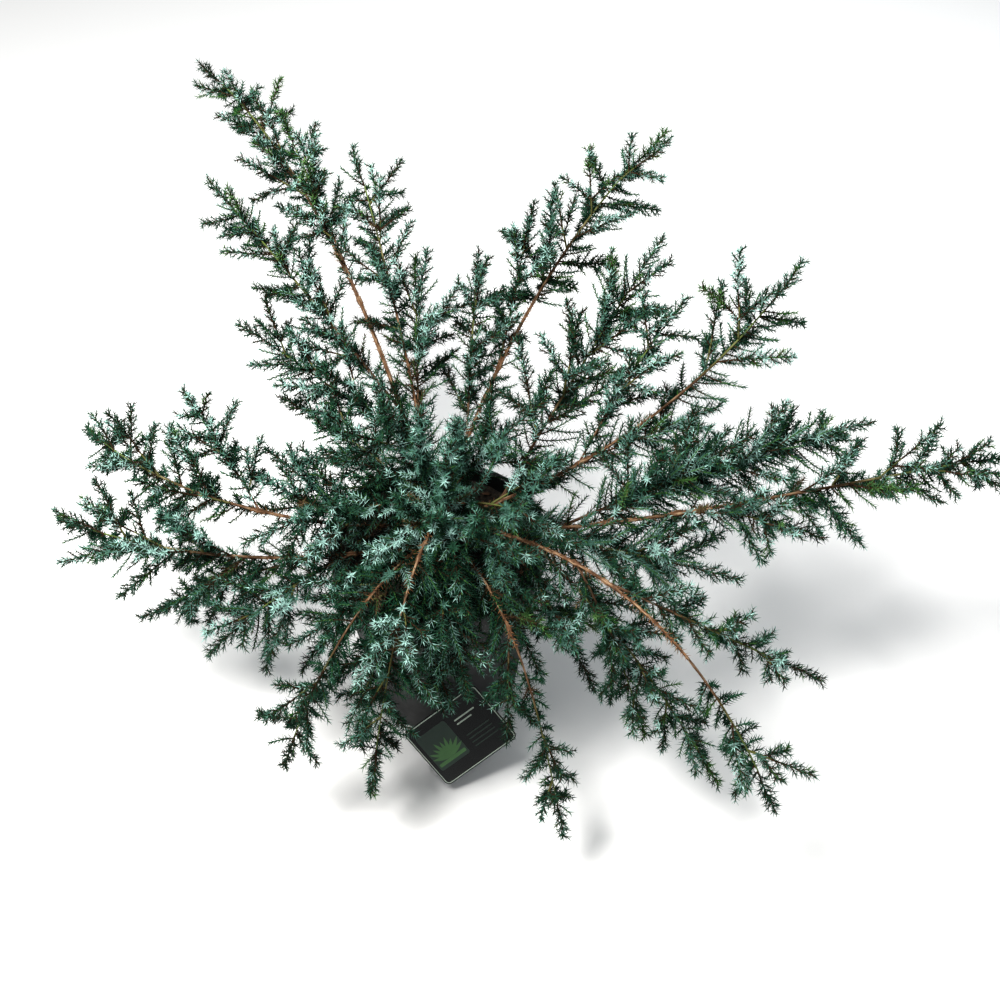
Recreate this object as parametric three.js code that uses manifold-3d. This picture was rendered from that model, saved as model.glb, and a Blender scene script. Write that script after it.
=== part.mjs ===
// Potted Blue Alps juniper: a spreading, arching conifer in a plain black nursery pot.
// Units are millimetres, +Z is up, and the origin is the centre of the pot's flat underside.
// The plant is seen from the front, so the viewer stands on the -Y side and +X is to the right.
import * as THREE from 'three';
import Module from 'manifold-3d';

const wasm = await Module();
wasm.setup();
const { Manifold, Mesh } = wasm;

// Small vector helpers on plain arrays
const add = (a, b) => [a[0] + b[0], a[1] + b[1], a[2] + b[2]];
const sub = (a, b) => [a[0] - b[0], a[1] - b[1], a[2] - b[2]];
const mul = (a, k) => [a[0] * k, a[1] * k, a[2] * k];
const dot = (a, b) => a[0] * b[0] + a[1] * b[1] + a[2] * b[2];
const cross = (a, b) => [
  a[1] * b[2] - a[2] * b[1],
  a[2] * b[0] - a[0] * b[2],
  a[0] * b[1] - a[1] * b[0],
];
const size = (a) => Math.sqrt(dot(a, a));
const unit = (a) => mul(a, 1 / size(a));
const mix = (a, b, k) => add(mul(a, 1 - k), mul(b, k));
const clamp = (v, lo, hi) => Math.max(lo, Math.min(hi, v));
const rad = (deg) => (deg * Math.PI) / 180;
const polar = (az, reach, z) => [reach * Math.cos(rad(az)), reach * Math.sin(rad(az)), z];

// One seeded stream of numbers from 0 to 1 for each mass
function stream(seed) {
  let s = seed >>> 0;
  return () => {
    s = (s + 0x6d2b79f5) >>> 0;
    let t = s;
    t = Math.imul(t ^ (t >>> 15), t | 1);
    t = (t ^ (t + Math.imul(t ^ (t >>> 7), t | 61))) >>> 0;
    return ((t ^ (t >>> 14)) >>> 0) / 4294967296;
  };
}

// Two unit vectors across a direction: to its right, and upwards
function across(dir) {
  const ref = Math.abs(dir[2]) < 0.995 ? [0, 0, 1] : [0, 1, 0];
  const right = unit(cross(dir, ref));
  return [right, cross(right, dir)];
}

// A direction turned away from another by an angle, rolled round it from straight up
function turned(dir, angle, roll) {
  const [right, up] = across(dir);
  const side = add(mul(up, Math.cos(roll)), mul(right, Math.sin(roll)));
  return unit(add(mul(dir, Math.cos(angle)), mul(side, Math.sin(angle))));
}

// The pot: a tapering tub with a rolled rim, filled to a little under it
const POT = { height: 235, foot: 80, neck: 107, rim: 112.5, wall: 2, rimDepth: 20, floor: 3 };
const SOIL_Z = 221;
const potRadius = (z) => POT.foot + ((POT.neck - POT.foot) * z) / (POT.height - POT.rimDepth);

// The short stem: a flat cut at the soil, a flared foot, and the top where the boughs fork
const TRUNK_TOP = 284;
const trunkRadius = (z) => {
  const k = (z - SOIL_Z) / (TRUNK_TOP - SOIL_Z);
  return 14.5 - 3.5 * k + 7.5 * Math.pow(1 - k, 4);
};

// The hanging care card: middle, width, height, thickness, lean back and turn in its plane
const CARD = { at: [22, -127, 66], w: 94, h: 76, t: 1.2, corner: 6, lean: 30, turn: 38 };

// Boughs: azimuth at the stem and how far it sweeps, reach of the tip, height of the foot,
// rise and droop over the whole length, thickness at the foot, and where the bare limb ends
const BOUGHS = {
  back_left: { az: 107, sweep: 12, reach: 575, foot: 241, rise: 342, drop: 95, r: 3.4, bare: 0.5 },
  back: { az: 102, sweep: 3, reach: 363, foot: 266, rise: 220, drop: 15, r: 2.6, bare: 0.42 },
  back_right: { az: 72, sweep: -14, reach: 459, foot: 254, rise: 240, drop: 25, r: 3, bare: 0.5 },
  right_back: { az: 358, sweep: 26, reach: 394, foot: 256, rise: 180, drop: -25, r: 2.8, bare: 0.55 },
  right: { az: 338, sweep: 25, reach: 565, foot: 241, rise: 212, drop: 132, r: 3.3, bare: 0.55 },
  right_front: { az: 318.5, sweep: 1, reach: 420, foot: 263, rise: 205, drop: 315, r: 2.9, bare: 0.72 },
  front_right: { az: 298.5, sweep: -2, reach: 284, foot: 246, rise: 115, drop: 300, r: 2.4, bare: 0.6 },
  front: { az: 268, sweep: -15.5, reach: 225, foot: 260, rise: 165, drop: 355, r: 2.4, bare: 0.55 },
  front_left: { az: 264, sweep: -33, reach: 249, foot: 239, rise: 200, drop: 348, r: 2.4, bare: 0.6 },
  left_front: { az: 214, sweep: -41, reach: 410, foot: 240, rise: 62, drop: 90, r: 2.8, bare: 0.42 },
  left: { az: 201, sweep: -42, reach: 416, foot: 258, rise: 78, drop: 85, r: 2.8, bare: 0.44 },
};
const boughPoint = (b, t) =>
  polar(b.az + b.sweep * t, b.reach * t, b.foot + b.rise * t - b.drop * t * t * t);
const boughRadius = (b, t) => b.r * (1 - 0.62 * t);

// Masses: the bough each sits on. An end mass runs on to the tip of its bough. A side mass
// leaves its bough, or the stem, at `at` and has its own tip: azimuth, reach and height.
// `lift` bows it upwards, `from` is where its shoots begin, `wide` is how long they are.
const MASSES = {
  crown_back: { on: 'stem', at: 277, tip: [140, 70, 395], lift: 5, from: 0.1, wide: 90 },
  crown_right: { on: 'stem', at: 277, tip: [20, 110, 385], lift: 20, from: 0.1, wide: 90 },
  crown_front_right: { on: 'stem', at: 277, tip: [325, 160, 330], lift: 50, from: 0.1, wide: 90 },
  crown_front: { on: 'stem', at: 279, tip: [283, 150, 300], lift: 60, from: 0.1, wide: 90 },
  crown_front_left: { on: 'stem', at: 277, tip: [196, 190, 285], lift: 45, from: 0.12, wide: 80 },
  crown_left: { on: 'stem', at: 279, tip: [141, 212, 305], lift: 20, from: 0.1, wide: 80 },
  crown_low: { on: 'stem', at: 240, tip: [12, 140, 300], lift: 0, from: 0.12, wide: 80 },
  skirt_front: { on: 'front', at: 0.3, tip: [282, 165, 165], lift: 45, from: 0.15, wide: 70 },
  skirt_right: { on: 'front_right', at: 0.25, tip: [307, 180, 175], lift: 35, from: 0.15, wide: 75 },
  back_left_tip: { on: 'back_left', wide: 60 },
  back_tip: { on: 'back', wide: 62 },
  back_right_tip: { on: 'back_right', wide: 76 },
  right_back_tip: { on: 'right_back', from: 0.3, wide: 80 },
  right_tip: { on: 'right', wide: 64 },
  right_front_tip: { on: 'right_front', from: 0.4, wide: 60 },
  front_right_tip: { on: 'front_right', from: 0.45, wide: 40 },
  front_tip: { on: 'front', wide: 60 },
  front_left_tip: { on: 'front_left', from: 0.4, wide: 55 },
  left_front_tip: { on: 'left_front', wide: 78 },
  left_tip: { on: 'left', wide: 68 },
  back_left_outer: { on: 'back_left', at: 0.2, tip: [126, 437, 430], lift: 10, from: 0.15, wide: 68 },
  back_left_low: { on: 'back_left', at: 0.13, tip: [137, 290, 350], lift: 15, from: 0.15, wide: 74 },
  back_left_right: { on: 'back_left', at: 0.4, tip: [114, 445, 485], lift: 15, from: 0.15, wide: 52 },
  back_side: { on: 'back', at: 0.25, tip: [96, 265, 390], lift: 10, from: 0.1, wide: 68 },
  back_mid: { on: 'back_right', at: 0.18, tip: [81, 258, 400], lift: 30, from: 0.1, wide: 60 },
  back_right_side: { on: 'back_right', at: 0.35, tip: [72, 321, 430], lift: 5, from: 0.1, wide: 58 },
  back_right_low: { on: 'right_back', at: 0.16, tip: [46, 333, 430], lift: 10, from: 0.2, wide: 90 },
  right_back_low: { on: 'right_back', at: 0.38, tip: [12, 285, 360], lift: 0, from: 0.25, wide: 58 },
  right_back_up: { on: 'right_back', at: 0.36, tip: [29, 279, 430], lift: 25, from: 0.1, wide: 54 },
  right_upper: { on: 'right', at: 0.22, tip: [6, 428, 350], lift: 25, from: 0.3, wide: 70 },
  right_mid: { on: 'right', at: 0.3, tip: [358, 295, 385], lift: 15, from: 0.1, wide: 64 },
  right_side: { on: 'right', at: 0.42, tip: [349, 373, 310], lift: 25, from: 0.1, wide: 62 },
  right_low: { on: 'right', at: 0.14, tip: [343, 303, 272], lift: 10, from: 0.2, wide: 90 },
  right_front_side: { on: 'right_front', at: 0.5, tip: [333, 403, 240], lift: 0, from: 0.1, wide: 42 },
  right_front_low: { on: 'right_front', at: 0.3, tip: [322, 354, 110], lift: 50, from: 0.2, wide: 56 },
  right_front_hang: { on: 'right_front', at: 0.42, tip: [319, 275, 135], lift: 35, from: 0.15, wide: 51 },
  front_right_out: { on: 'right_front', at: 0.2, tip: [318, 215, 160], lift: 35, from: 0.2, wide: 75 },
  front_right_side: { on: 'front_right', at: 0.55, tip: [289, 214, 165], lift: 15, from: 0.2, wide: 50 },
  front_side: { on: 'front', at: 0.4, tip: [273, 160, 150], lift: 20, from: 0.1, wide: 55 },
  front_left_hang: { on: 'front_left', at: 0.45, tip: [247, 190, 110], lift: 20, from: 0.1, wide: 60 },
  front_left_out: { on: 'front_left', at: 0.25, tip: [222, 185, 165], lift: 40, from: 0.14, wide: 66 },
  left_front_low: { on: 'left_front', at: 0.22, tip: [210, 255, 205], lift: 25, from: 0.1, wide: 70 },
  left_front_side: { on: 'left_front', at: 0.3, tip: [189, 312, 165], lift: 20, from: 0.2, wide: 70 },
  left_up: { on: 'left', at: 0.42, tip: [155, 290, 315], lift: 15, from: 0.12, wide: 54 },
  left_back: { on: 'left', at: 0.22, tip: [160, 185, 295], lift: 20, from: 0.1, wide: 80 },
};

// The way a mass's own stem runs, from u = 0 at its foot to u = 1 at its tip
function massPath(m) {
  const b = BOUGHS[m.on];
  if (!m.tip) return (u) => boughPoint(b, b.bare + (1 - b.bare) * u);
  const foot = m.on === 'stem' ? [0, 0, m.at] : boughPoint(b, m.at);
  const tip = polar(...m.tip);
  const bow = add(mix(foot, tip, 0.5), [0, 0, m.lift]);
  return (u) => mix(mix(foot, bow, u), mix(bow, tip, u), u);
}
const tangent = (path, u) => unit(sub(path(Math.min(1, u + 0.01)), path(Math.max(0, u - 0.01))));

function pathLength(path) {
  let sum = 0;
  for (let i = 0; i < 12; i += 1) {
    sum += size(sub(path((i + 1) / 12), path(i / 12)));
  }
  return sum;
}

// A solid from its corner points and triangles
function solid(points, faces) {
  const mesh = new Mesh({
    numProp: 3,
    vertProperties: new Float32Array(points.flat()),
    triVerts: new Uint32Array(faces.flat()),
  });
  return new Manifold(mesh);
}

// A ring of corners across a direction, set out from straight up towards the right
function ring(at, dir, radius, sides, roll) {
  const [right, up] = across(dir);
  const out = [];
  for (let k = 0; k < sides; k += 1) {
    const a = roll + (2 * Math.PI * k) / sides;
    out.push(add(at, add(mul(up, radius * Math.cos(a)), mul(right, radius * Math.sin(a)))));
  }
  return out;
}

// A tapering tube along some points, closed with flat ends, as corners and triangles.
// Each length of it has 2 triangles a side, listed side by side, and the ends come last.
function tube(points, radii, sides, roll) {
  const corners = [];
  const faces = [];
  points.forEach((p, i) => {
    const before = points[Math.max(0, i - 1)];
    const after = points[Math.min(points.length - 1, i + 1)];
    corners.push(...ring(p, unit(sub(after, before)), radii[i], sides, roll(i)));
  });
  for (let i = 0; i + 1 < points.length; i += 1) {
    for (let s = 0; s < sides; s += 1) {
      const a = i * sides + s;
      const b = i * sides + ((s + 1) % sides);
      faces.push([a, b, a + sides], [b, b + sides, a + sides]);
    }
  }
  const last = (points.length - 1) * sides;
  for (let s = 1; s + 1 < sides; s += 1) {
    faces.push([0, s + 1, s], [last, last + s, last + s + 1]);
  }
  return { corners, faces };
}

// Grow rings of three out of one triangle of a skin, which gives the triangle up, and close
// them with a point, or with a flat end where there is no point; returns the new triangles
function growOut(skin, faceIndex, foot, dir, rings, point) {
  const face = skin.faces[faceIndex];
  const [c0, c1, c2] = face.map((c) => skin.corners[c]);
  const middle = mul(add(add(c0, c1), c2), 1 / 3);
  const far = face.map((c) => size(sub(skin.corners[c], middle)));
  const first = far.indexOf(Math.max(...far));
  let base = [face[first], face[(first + 1) % 3], face[(first + 2) % 3]];
  const [right, up] = across(dir);
  const way = sub(skin.corners[base[0]], middle);
  const roll = Math.atan2(dot(way, right), dot(way, up));
  const made = [];
  const put = (f) => made.push(skin.faces.push(f) - 1);
  rings.forEach(([along, radius]) => {
    const at = skin.corners.length;
    skin.corners.push(...ring(add(foot, mul(dir, along)), dir, radius, 3, roll));
    const next = [at, at + 1, at + 2];
    for (let k = 0; k < 3; k += 1) {
      const n = (k + 1) % 3;
      const [a, b, c, d] = [base[k], base[n], next[n], next[k]];
      const [pa, pb, pc, pd] = [a, b, c, d].map((i) => skin.corners[i]);
      if (dot(cross(sub(pb, pa), sub(pc, pa)), sub(pd, pa)) < 1e-6) {
        put([a, b, c]);
        put([a, c, d]);
      } else {
        put([a, b, d]);
        put([b, c, d]);
      }
    }
    base = next;
  });
  if (point) {
    const tip = skin.corners.push(point) - 1;
    for (let k = 0; k < 3; k += 1) {
      put([base[k], base[(k + 1) % 3], tip]);
    }
  } else {
    put(base);
  }
  skin.faces[faceIndex] = null;
  return made;
}

// The free triangle among some that looks most the way a shoot goes
function facing(skin, choice, dir) {
  let best = -1;
  let most = 0.3;
  for (const i of choice) {
    const f = skin.faces[i];
    if (f) {
      const [a, b, c] = f.map((k) => skin.corners[k]);
      const look = dot(unit(cross(sub(b, a), sub(c, a))), dir);
      if (look > most) {
        most = look;
        best = i;
      }
    }
  }
  return best;
}

// A spray of needles: a slim three-sided core with whorls of three pointed teeth that lean
// forwards. Each ring is a share of the length and of the radius.
const LONG_SPRAY = [
  [0.38, 1.0],
  [0.31, 0.36],
  [0.74, 0.85],
  [0.67, 0.3],
];
const SHORT_SPRAY = [
  [0.6, 1.0],
  [0.5, 0.4],
];
const LONG_FROM = 55;

function addSpray(skin, choice, spray) {
  const face = facing(skin, choice, spray.dir);
  if (face >= 0) {
    const whorls = spray.len > LONG_FROM ? LONG_SPRAY : SHORT_SPRAY;
    const rings = whorls.map(([along, out]) => [along * spray.len, out * spray.radius]);
    growOut(skin, face, spray.foot, spray.dir, rings, spray.end);
  }
}

// Closest points of two straight pieces, as the distance and the place along each
function closest(a, b, c, d) {
  const u = sub(b, a);
  const v = sub(d, c);
  const w = sub(a, c);
  const uu = dot(u, u);
  const vv = dot(v, v);
  const uv = dot(u, v);
  const uw = dot(u, w);
  const vw = dot(v, w);
  const det = uu * vv - uv * uv;
  let s = det > 1e-9 ? clamp((uv * vw - vv * uw) / det, 0, 1) : 0;
  const t = clamp((uv * s + vw) / vv, 0, 1);
  s = clamp((uv * t - uw) / uu, 0, 1);
  return [size(sub(add(a, mul(u, s)), add(c, mul(v, t)))), s, t];
}

// Everything already placed, as tapering rods with an owner
const taken = [];
const rod = (own, a, b, ra, rb) => ({ own, a, b, ra, rb });
const rodsAlong = (own, path, radius, n) => {
  for (let i = 0; i < n; i += 1) {
    const u = i / n;
    const v = (i + 1) / n;
    taken.push(rod(own, path(u), path(v), radius(u), radius(v)));
  }
};

const thickness = (r, s) => r.ra + (r.rb - r.ra) * s;
const apart = (p, q) => {
  const [d, s, t] = closest(p.a, p.b, q.a, q.b);
  return d - thickness(p, s) - thickness(q, t);
};
const touching = (p, q) => apart(p, q) < 0;

// How far a point with some thickness stays from the pot, the soil and the ground
const FLOOR_ROOM = 16;
const SOIL_ROOM = 2;
const INSIDE = POT.rim - 9;
function aboveGround(p, r) {
  const out = Math.hypot(p[0], p[1]);
  let gap = p[2] - FLOOR_ROOM;
  if (out < INSIDE) {
    gap = Math.min(gap, p[2] - SOIL_Z - SOIL_ROOM);
  } else if (p[2] > POT.height) {
    gap = Math.min(gap, Math.hypot(Math.max(0, out - POT.rim), p[2] - POT.height));
  } else {
    gap = Math.min(gap, out - (p[2] > POT.height - POT.rimDepth ? POT.rim : potRadius(p[2])));
  }
  return gap - r;
}

// Room round a new rod: what is left to the nearest thing of another owner
function room(own, r) {
  let least = Infinity;
  for (const share of [0, 1 / 3, 2 / 3, 1]) {
    least = Math.min(least, aboveGround(mix(r.a, r.b, share), thickness(r, share)));
  }
  for (const o of taken) {
    if (o.own !== own) {
      least = Math.min(least, apart(r, o));
    }
  }
  return least;
}

// Shoots leave a stem every SPACING along it, and stay GAP clear of every other mass and limb.
// They are longest at its foot and lose TAPER of their length by its tip, where a lead carries
// the stem on. The stem's three sides turn by TWIST at each shoot. A spray is widest at WAIST.
const SPACING = 16;
const GAP = 0.6;
const TWIST = 0.4;
const WAIST = 0.42;
const ROOT = 2.5;
const TWIG_END = 1.3;
const POINT = 0.5;
const TRIES = 6;
const WIDE_FOOT = 1.22;
const TAPER = 0.67;
const SHOOTS_FROM = 0.04;

// The lead's length is a share of `wide` within limits, and reaches past the stem's own tip
const LEAD_SHARE = 0.8;
const LEAST_LEAD = 42;
const MOST_LEAD = 68;
const LEAD_INSIDE = 0.92;

// How far shoots lean out from their stem in degrees, and their play in length and round it
const LEAN = 36;
const LEAN_MORE = 22;
const REACH = 0.85;
const REACH_MORE = 0.35;
const ROLL_PLAY = 0.7;

// How fat a spray is for its length: on a stem, at its lead, at a twig's end and on its side
const FAT = { shoot: 0.155, lead: 0.16, ahead: 0.125, side: 0.11 };

// A twig's length and its sprays' lengths as shares of the reach, and how its sides fork
const FORK = { twig: 0.4, ahead: 0.72, side: 0.62, along: 0.6, lean: 50, roll: 1.6 };

const stemRadius = (length, u) => (1.5 + length * 0.006) * (1 - 0.5 * u);

// The shoots of one mass, found by its seeded rule. Its stem is a run of short lengths, and
// from each a spray of needles grows, or a twig with sprays at its end and on its side.
function growMass(name, m, seed) {
  const rnd = stream(seed);
  const path = massPath(m);
  const length = pathLength(path);
  const last = clamp(m.wide * LEAD_SHARE, LEAST_LEAD, MOST_LEAD);
  const end = 1 - (last * LEAD_INSIDE) / length;
  const count = Math.round((length * end) / SPACING);
  const from = m.from ?? SHOOTS_FROM;
  const shoots = [];
  const STEM = -2;
  const LEAD = -1;
  const own = taken.filter((o) => o.own === name).map((o) => ({ ...o, fork: STEM }));

  const fits = (foot, dir, len, radius, fork) => {
    const mid = add(foot, mul(dir, len * WAIST));
    const tip = add(foot, mul(dir, len));
    const inner = rod(name, foot, mid, ROOT, radius);
    const outer = rod(name, mid, tip, radius, POINT);
    const blocked = own.some((o) => {
      const carriesOn = fork === LEAD && o.fork === STEM;
      const near = o.fork === STEM || (o.fork === fork && o.inner);
      return !carriesOn && ((!near && touching(inner, o)) || touching(outer, o));
    });
    if (blocked || room(name, inner) < GAP || room(name, outer) < GAP) {
      return null;
    }
    own.push({ ...inner, fork, inner: true }, { ...outer, fork, inner: false });
    taken.push(inner, outer);
    return { foot, dir, len, radius, end: tip };
  };

  const lead = fits(path(end), tangent(path, (1 + end) / 2), last, last * FAT.lead, LEAD);
  for (let k = count - 1; k >= 0; k -= 1) {
    const u = (end * (k + 0.5)) / count;
    if (u < from) {
      break;
    }
    const dir = tangent(path, u);
    const reach = m.wide * (REACH + REACH_MORE * rnd()) * (WIDE_FOOT - TAPER * u);
    for (let attempt = 0; attempt < TRIES; attempt += 1) {
      const side = (k + attempt) % 3;
      const facet = TWIST * (k + 0.5) + (Math.PI / 3) * (1 + 2 * side);
      const roll = facet + ROLL_PLAY * (rnd() - 0.5);
      const way = turned(dir, rad(LEAN + LEAN_MORE * rnd()), roll);
      const foot = add(path(u), mul(way, 0.5));
      if (k % 3 === 1) {
        const fork = add(foot, mul(way, reach * FORK.twig));
        const twig = rod(name, foot, fork, ROOT, TWIG_END);
        const clear = room(name, twig) > GAP;
        const ahead = clear && fits(fork, way, reach * FORK.ahead, reach * FAT.ahead, k);
        if (ahead) {
          taken.push(twig);
          own.push({ ...twig, fork: k, inner: true });
          const knee = mix(foot, fork, FORK.along);
          const turn = rnd() < 0.5 ? FORK.roll : -FORK.roll;
          const sides = [turn, -turn].map((t) => {
            const out = turned(way, rad(FORK.lean), roll + t);
            return fits(knee, out, reach * FORK.side, reach * FAT.side, k);
          });
          shoots.push({ k, foot, fork, way, ahead, sides });
          break;
        }
      } else {
        const spray = fits(foot, way, reach, reach * FAT.shoot, k);
        if (spray) {
          shoots.push({ k, spray });
          break;
        }
      }
    }
  }
  return { path, length, end, count, lead, shoots };
}

const plant = new THREE.Group();
plant.name = 'potted_juniper';

function node(name, body, colour, roughness) {
  const out = body.getMesh();
  const points = new Float32Array((out.vertProperties.length / out.numProp) * 3);
  for (let i = 0; i * 3 < points.length; i += 1) {
    for (let k = 0; k < 3; k += 1) {
      points[i * 3 + k] = out.vertProperties[i * out.numProp + k];
    }
  }
  const geometry = new THREE.BufferGeometry();
  geometry.setAttribute('position', new THREE.BufferAttribute(points, 3));
  geometry.setIndex([...out.triVerts]);
  geometry.computeVertexNormals();
  const material = new THREE.MeshStandardMaterial({ color: colour, roughness, metalness: 0 });
  const mesh = new THREE.Mesh(geometry, material);
  mesh.name = name;
  plant.add(mesh);
}

// A round body turned about the Z axis from an outline of radius and height
function turnedBody(outline, sides) {
  const corners = [];
  const faces = [];
  const n = outline.length;
  outline.forEach(([r, z]) => {
    for (let s = 0; s < sides; s += 1) {
      const a = (2 * Math.PI * s) / sides;
      corners.push([r * Math.cos(a), r * Math.sin(a), z]);
    }
  });
  for (let i = 0; i + 1 < n; i += 1) {
    for (let s = 0; s < sides; s += 1) {
      const a = i * sides + s;
      const b = i * sides + ((s + 1) % sides);
      faces.push([a, b, b + sides], [a, b + sides, a + sides]);
    }
  }
  const low = corners.push([0, 0, outline[0][1]]) - 1;
  const high = corners.push([0, 0, outline[n - 1][1]]) - 1;
  for (let s = 0; s < sides; s += 1) {
    const t = (s + 1) % sides;
    faces.push([low, t, s], [high, (n - 1) * sides + s, (n - 1) * sides + t]);
  }
  return solid(corners, faces);
}

// Pot: outline up the outside, over the rolled rim and down the inside to the floor
const lip = POT.height - POT.rimDepth;
const pot = turnedBody(
  [
    [POT.foot, 0],
    [POT.neck, lip],
    [POT.rim - 1, lip + 1.5],
    [POT.rim, POT.height - 2],
    [POT.rim - 1.5, POT.height],
    [POT.neck, POT.height],
    [POT.neck - POT.wall, POT.height - 2],
    [POT.neck - POT.wall, lip],
    [POT.foot - POT.wall, POT.floor],
  ],
  32,
);
node('pot', pot, 0x2b2e2f, 0.45);

// Soil: fills the pot with a thin gap all round, a little domed towards the stem
const SOIL_GAP = 0.4;
const soil = turnedBody(
  [
    [POT.foot - POT.wall - SOIL_GAP, POT.floor + 0.3],
    [POT.neck - POT.wall - SOIL_GAP, lip],
    [POT.neck - POT.wall - SOIL_GAP, SOIL_Z - 4],
    [60, SOIL_Z - 1.5],
    [26, SOIL_Z],
  ],
  32,
);
node('soil', soil, 0x2a241f, 0.95);

// Stem: short, flared at the foot, with its flat cut on the soil
const trunkOutline = (grow) =>
  [0, 0.1, 0.25, 0.5, 0.85, 1].map((k) => {
    const z = SOIL_Z + k * (TRUNK_TOP - SOIL_Z);
    return [trunkRadius(z) * (k === 1 ? 0.6 : 1) + grow, z];
  });
const trunk = turnedBody(trunkOutline(0), 12);
node('trunk', trunk.translate([0, 0, 0.3]), 0x6f5743, 0.9);
const CLEAR = 0.35;
const roomOutline = trunkOutline(CLEAR);
roomOutline[0][1] -= 5;
roomOutline[5][1] += 0.7;
const trunkRoom = turnedBody(roomOutline, 12);

// Card and its strap, which runs up the front of the pot and hooks over the rim
const toCard = (p) => {
  const turn = rad(CARD.turn);
  const tilt = rad(90 - CARD.lean);
  const x = p[0] * Math.cos(turn) - p[1] * Math.sin(turn);
  const y = p[0] * Math.sin(turn) + p[1] * Math.cos(turn);
  const [c, s] = [Math.cos(tilt), Math.sin(tilt)];
  return add(CARD.at, [x, y * c - p[2] * s, y * s + p[2] * c]);
};
const corner = [];
for (const [sx, sy, a0] of [[1, 1, 0], [-1, 1, 90], [-1, -1, 180], [1, -1, 270]]) {
  for (let k = 0; k <= 3; k += 1) {
    const a = rad(a0 + k * 30);
    const x = sx * (CARD.w / 2 - CARD.corner) + CARD.corner * Math.cos(a);
    corner.push([x, sy * (CARD.h / 2 - CARD.corner) + CARD.corner * Math.sin(a)]);
  }
}
const edge = corner.length;
const cardFace = (z) => corner.map(([x, y]) => toCard([x, y, z]));
const cardPoints = [...cardFace(-CARD.t / 2), ...cardFace(CARD.t / 2)];
const cardFaces = [];
for (let i = 0; i < edge; i += 1) {
  const j = (i + 1) % edge;
  cardFaces.push([i, j, j + edge], [i, j + edge, i + edge]);
}
for (let i = 1; i + 1 < edge; i += 1) {
  cardFaces.push([0, i + 1, i], [edge, edge + i, edge + i + 1]);
}
const card = solid(cardPoints, cardFaces);
const strapTop = toCard([0, CARD.h / 2 - 1, 0]);
const STRAP = { x: -2, half: 2.5, thin: 0.6, off: 1.2, inside: 9 };
const behind = -POT.neck + POT.wall + 1.5;
const front = -POT.rim - STRAP.off;
const hook = [
  [STRAP.x, behind, POT.height - STRAP.inside],
  [STRAP.x, behind, POT.height + STRAP.off],
  [STRAP.x, front, POT.height + STRAP.off],
  [STRAP.x, front, lip - 4],
  strapTop,
];
const strapEnd = (c) => {
  const out = [];
  for (const x of [-STRAP.half, STRAP.half]) {
    for (const y of [-STRAP.thin, STRAP.thin]) {
      for (const z of [-STRAP.thin, STRAP.thin]) {
        out.push(add(c, [x, y, z]));
      }
    }
  }
  return out;
};
const strapPieces = [];
for (let i = 0; i + 1 < hook.length; i += 1) {
  strapPieces.push(Manifold.hull([...strapEnd(hook[i]), ...strapEnd(hook[i + 1])]));
}
node('label', Manifold.union([card, ...strapPieces]), 0x1f2122, 0.35);
const CARD_ROOM = 11;
const STRAP_ROOM = 4;
for (const k of [-1.5, -0.5, 0.5, 1.5]) {
  const y = (k * CARD.h) / 4;
  const half = CARD.w / 2 - 8;
  taken.push(rod('label', toCard([-half, y, 0]), toCard([half, y, 0]), CARD_ROOM, CARD_ROOM));
}
taken.push(rod('label', hook[3], hook[4], STRAP_ROOM, STRAP_ROOM));

// Boughs, each one tapering limb cut a little clear of the stem
const limbSolid = (b, grow) => {
  const steps = 7;
  const points = [];
  const radii = [];
  const end = b.bare + grow / b.reach;
  for (let i = 0; i <= steps; i += 1) {
    const t = (end * i) / steps;
    points.push(boughPoint(b, t));
    radii.push(boughRadius(b, t) + grow);
  }
  const { corners, faces } = tube(points, radii, 5, () => 0);
  return solid(corners, faces);
};
const BARK = 0x7d5f48;
for (const [name, b] of Object.entries(BOUGHS)) {
  node(`bough_${name}`, limbSolid(b, 0).subtract(trunkRoom), BARK, 0.9);
  const along = (u) => boughPoint(b, u * b.bare);
  rodsAlong(`bough_${name}`, along, (u) => boughRadius(b, u * b.bare), 9);
}
const TRUNK_ROOM = [15, 12];
taken.push(rod('trunk', [0, 0, SOIL_Z], [0, 0, TRUNK_TOP], ...TRUNK_ROOM));

// Stems of all the masses first, so that no shoot grows through one
for (const [name, m] of Object.entries(MASSES)) {
  const path = massPath(m);
  const length = pathLength(path);
  rodsAlong(name, path, (u) => stemRadius(length, u), 10);
}

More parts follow.
